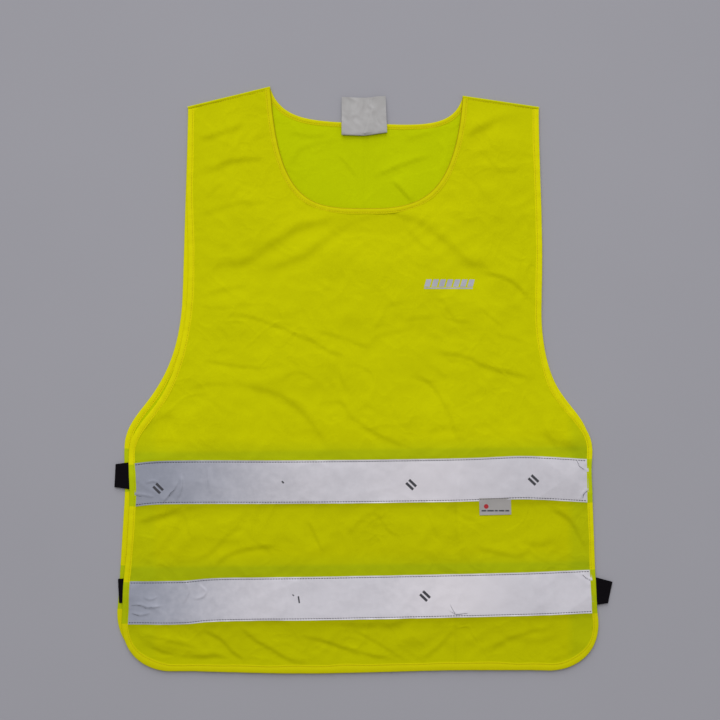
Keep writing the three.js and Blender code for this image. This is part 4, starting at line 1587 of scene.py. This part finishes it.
def make_tape_label():
    """The small satin label under the upper front tape, with a dot and a row of dashes printed on it."""
    (left, low, _), (right, high, _) = box_mm("tape_label")
    tape = front_tape("upper")
    tape_edge = tape.middle(np.array([(left + right) / 2]))[0] - tape.half
    tucked, bottom = tape_edge + TAPE_LABEL_TUCK, low + 0.5

    def surface(x, y):
        down = np.clip((tape_edge - y) / (tape_edge - bottom), 0, 1)
        wave, length = TAPE_LABEL_WAVE
        lift = TAPE_LABEL_LIFT + TAPE_LABEL_CURL * down**1.5 + wave * np.sin((x - left) / length)
        return front_height(x, y) + CLOTH / 2 + lift

    def ink_surface(x, y):
        return surface(x, y) + TAPE_LABEL_INK_LIFT

    corners = [(left, bottom + 0.2), (right + 0.4, bottom + 0.9), (right, tucked), (left - 0.6, tucked)]
    ribbon = add_piece("tape_label_ribbon", patch(corners, (30, 16), surface, TAPE_LABEL_THICKNESS),
                       "tape_label", "tape_label", "tape_label")
    dashes = []
    x, y = left + 2.2, bottom + 4.4
    for dash in LABEL_DASHES:
        dashes.append(patch(rectangle(x, y, x + dash, y + DASH_HEIGHT), (8, 3), ink_surface, INK))
        x += dash + DASH_GAP
    lines = add_piece("tape_label_dashes", joined(*dashes), "dark_ink", "print")
    turn = np.append(np.linspace(0, 2 * math.pi, 25)[:-1], 0.0)
    circle = np.stack([np.cos(turn), np.sin(turn)], axis=1)
    rings = np.array([[left + 7.6, bottom + 10.2] + DOT_RADIUS * r * circle for r in (0.02, 0.35, 0.7, 1.0)])
    dot = add_piece("tape_label_dot", grid_shell(lifted(rings, ink_surface), INK), "red_ink", "print")
    for piece in (ribbon, lines, dot):
        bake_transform(piece)
    (tucked - bottom) * MM


# ------------------------------------------------------------
# Camera, floor and light

# Where the camera stands from the vest's middle: to the left, towards the shoulders and above it, in m.
CAMERA_LEFT = 0.004
CAMERA_UP = 0.022
CAMERA_HEIGHT = 1.15
LENS = 50
SENSOR_WIDTH = 36
FLOOR_HALF = 15.0


def add_object(name, data):
    added = bpy.data.objects.new(name, data)
    bpy.context.scene.collection.objects.link(added)
    return added


def make_camera():
    low, high = CAD_BOX
    data = bpy.data.cameras.new("camera")
    data.lens = LENS
    data.sensor_width = SENSOR_WIDTH
    camera = add_object("camera", data)
    middle = (low + high) / 2
    camera.location = (middle.x - CAMERA_LEFT, middle.y + CAMERA_UP, high.z + CAMERA_HEIGHT)
    bpy.context.scene.camera = camera


def make_floor():
    mesh = bpy.data.meshes.new("floor")
    corners = rectangle(-FLOOR_HALF, -FLOOR_HALF, FLOOR_HALF, FLOOR_HALF)
    mesh.from_pydata([(x, y, 0) for x, y in corners], [], [(0, 1, 2, 3)])
    mesh.materials.append(MATERIALS["floor"])
    add_object("floor", mesh)


def add_light(name, kind, place, energy, colour, **settings):
    """A light that faces the middle of the vest. For a sun, the place only says where it shines from."""
    data = bpy.data.lights.new(name, kind)
    data.energy = energy
    data.color = colour
    for setting, value in settings.items():
        setattr(data, setting, value)
    light = add_object(name, data)
    light.location = place
    light.rotation_mode = "QUATERNION"
    light.rotation_quaternion = (-Vector(place)).to_track_quat("-Z", "Y")


def make_light():
    """Even light from a far window, a softbox overhead, and a pale room around."""
    world = bpy.data.worlds.new("studio")
    world.use_nodes = True
    background = world.node_tree.nodes["Background"]
    background.inputs["Color"].default_value = (1.0, 0.985, 0.975, 1)
    background.inputs["Strength"].default_value = 0.36
    bpy.context.scene.world = world
    add_light("window", "SUN", (-0.10, 1.0, 0.66), 1.66, (0.94, 0.965, 1.0), angle=math.radians(52))
    add_light("overhead", "AREA", (-0.05, 0.55, 1.8), 9, (1.0, 1.0, 1.0),
              shape="RECTANGLE", size=1.1, size_y=0.8)
    bpy.context.scene.view_settings.view_transform = "Standard"


# ------------------------------------------------------------
# The vest


def make_vest():
    make_panel_with_bindings(BACK, 51)
    make_panel_with_bindings(FRONT, 61)
    for tape in TAPES:
        make_tape(tape)
    for name in STRAPS:
        make_strap(name)
    make_shoulder_seam("left_shoulder_seam", FRONT.left_shoulder)
    make_shoulder_seam("right_shoulder_seam", FRONT.right_shoulder)
    make_care_label()
    make_chest_mark()
    make_tape_marks()
    make_crack_shadows()
    make_tape_label()


make_camera()
make_floor()
make_light()
make_vest()

bpy.context.view_layer.update()
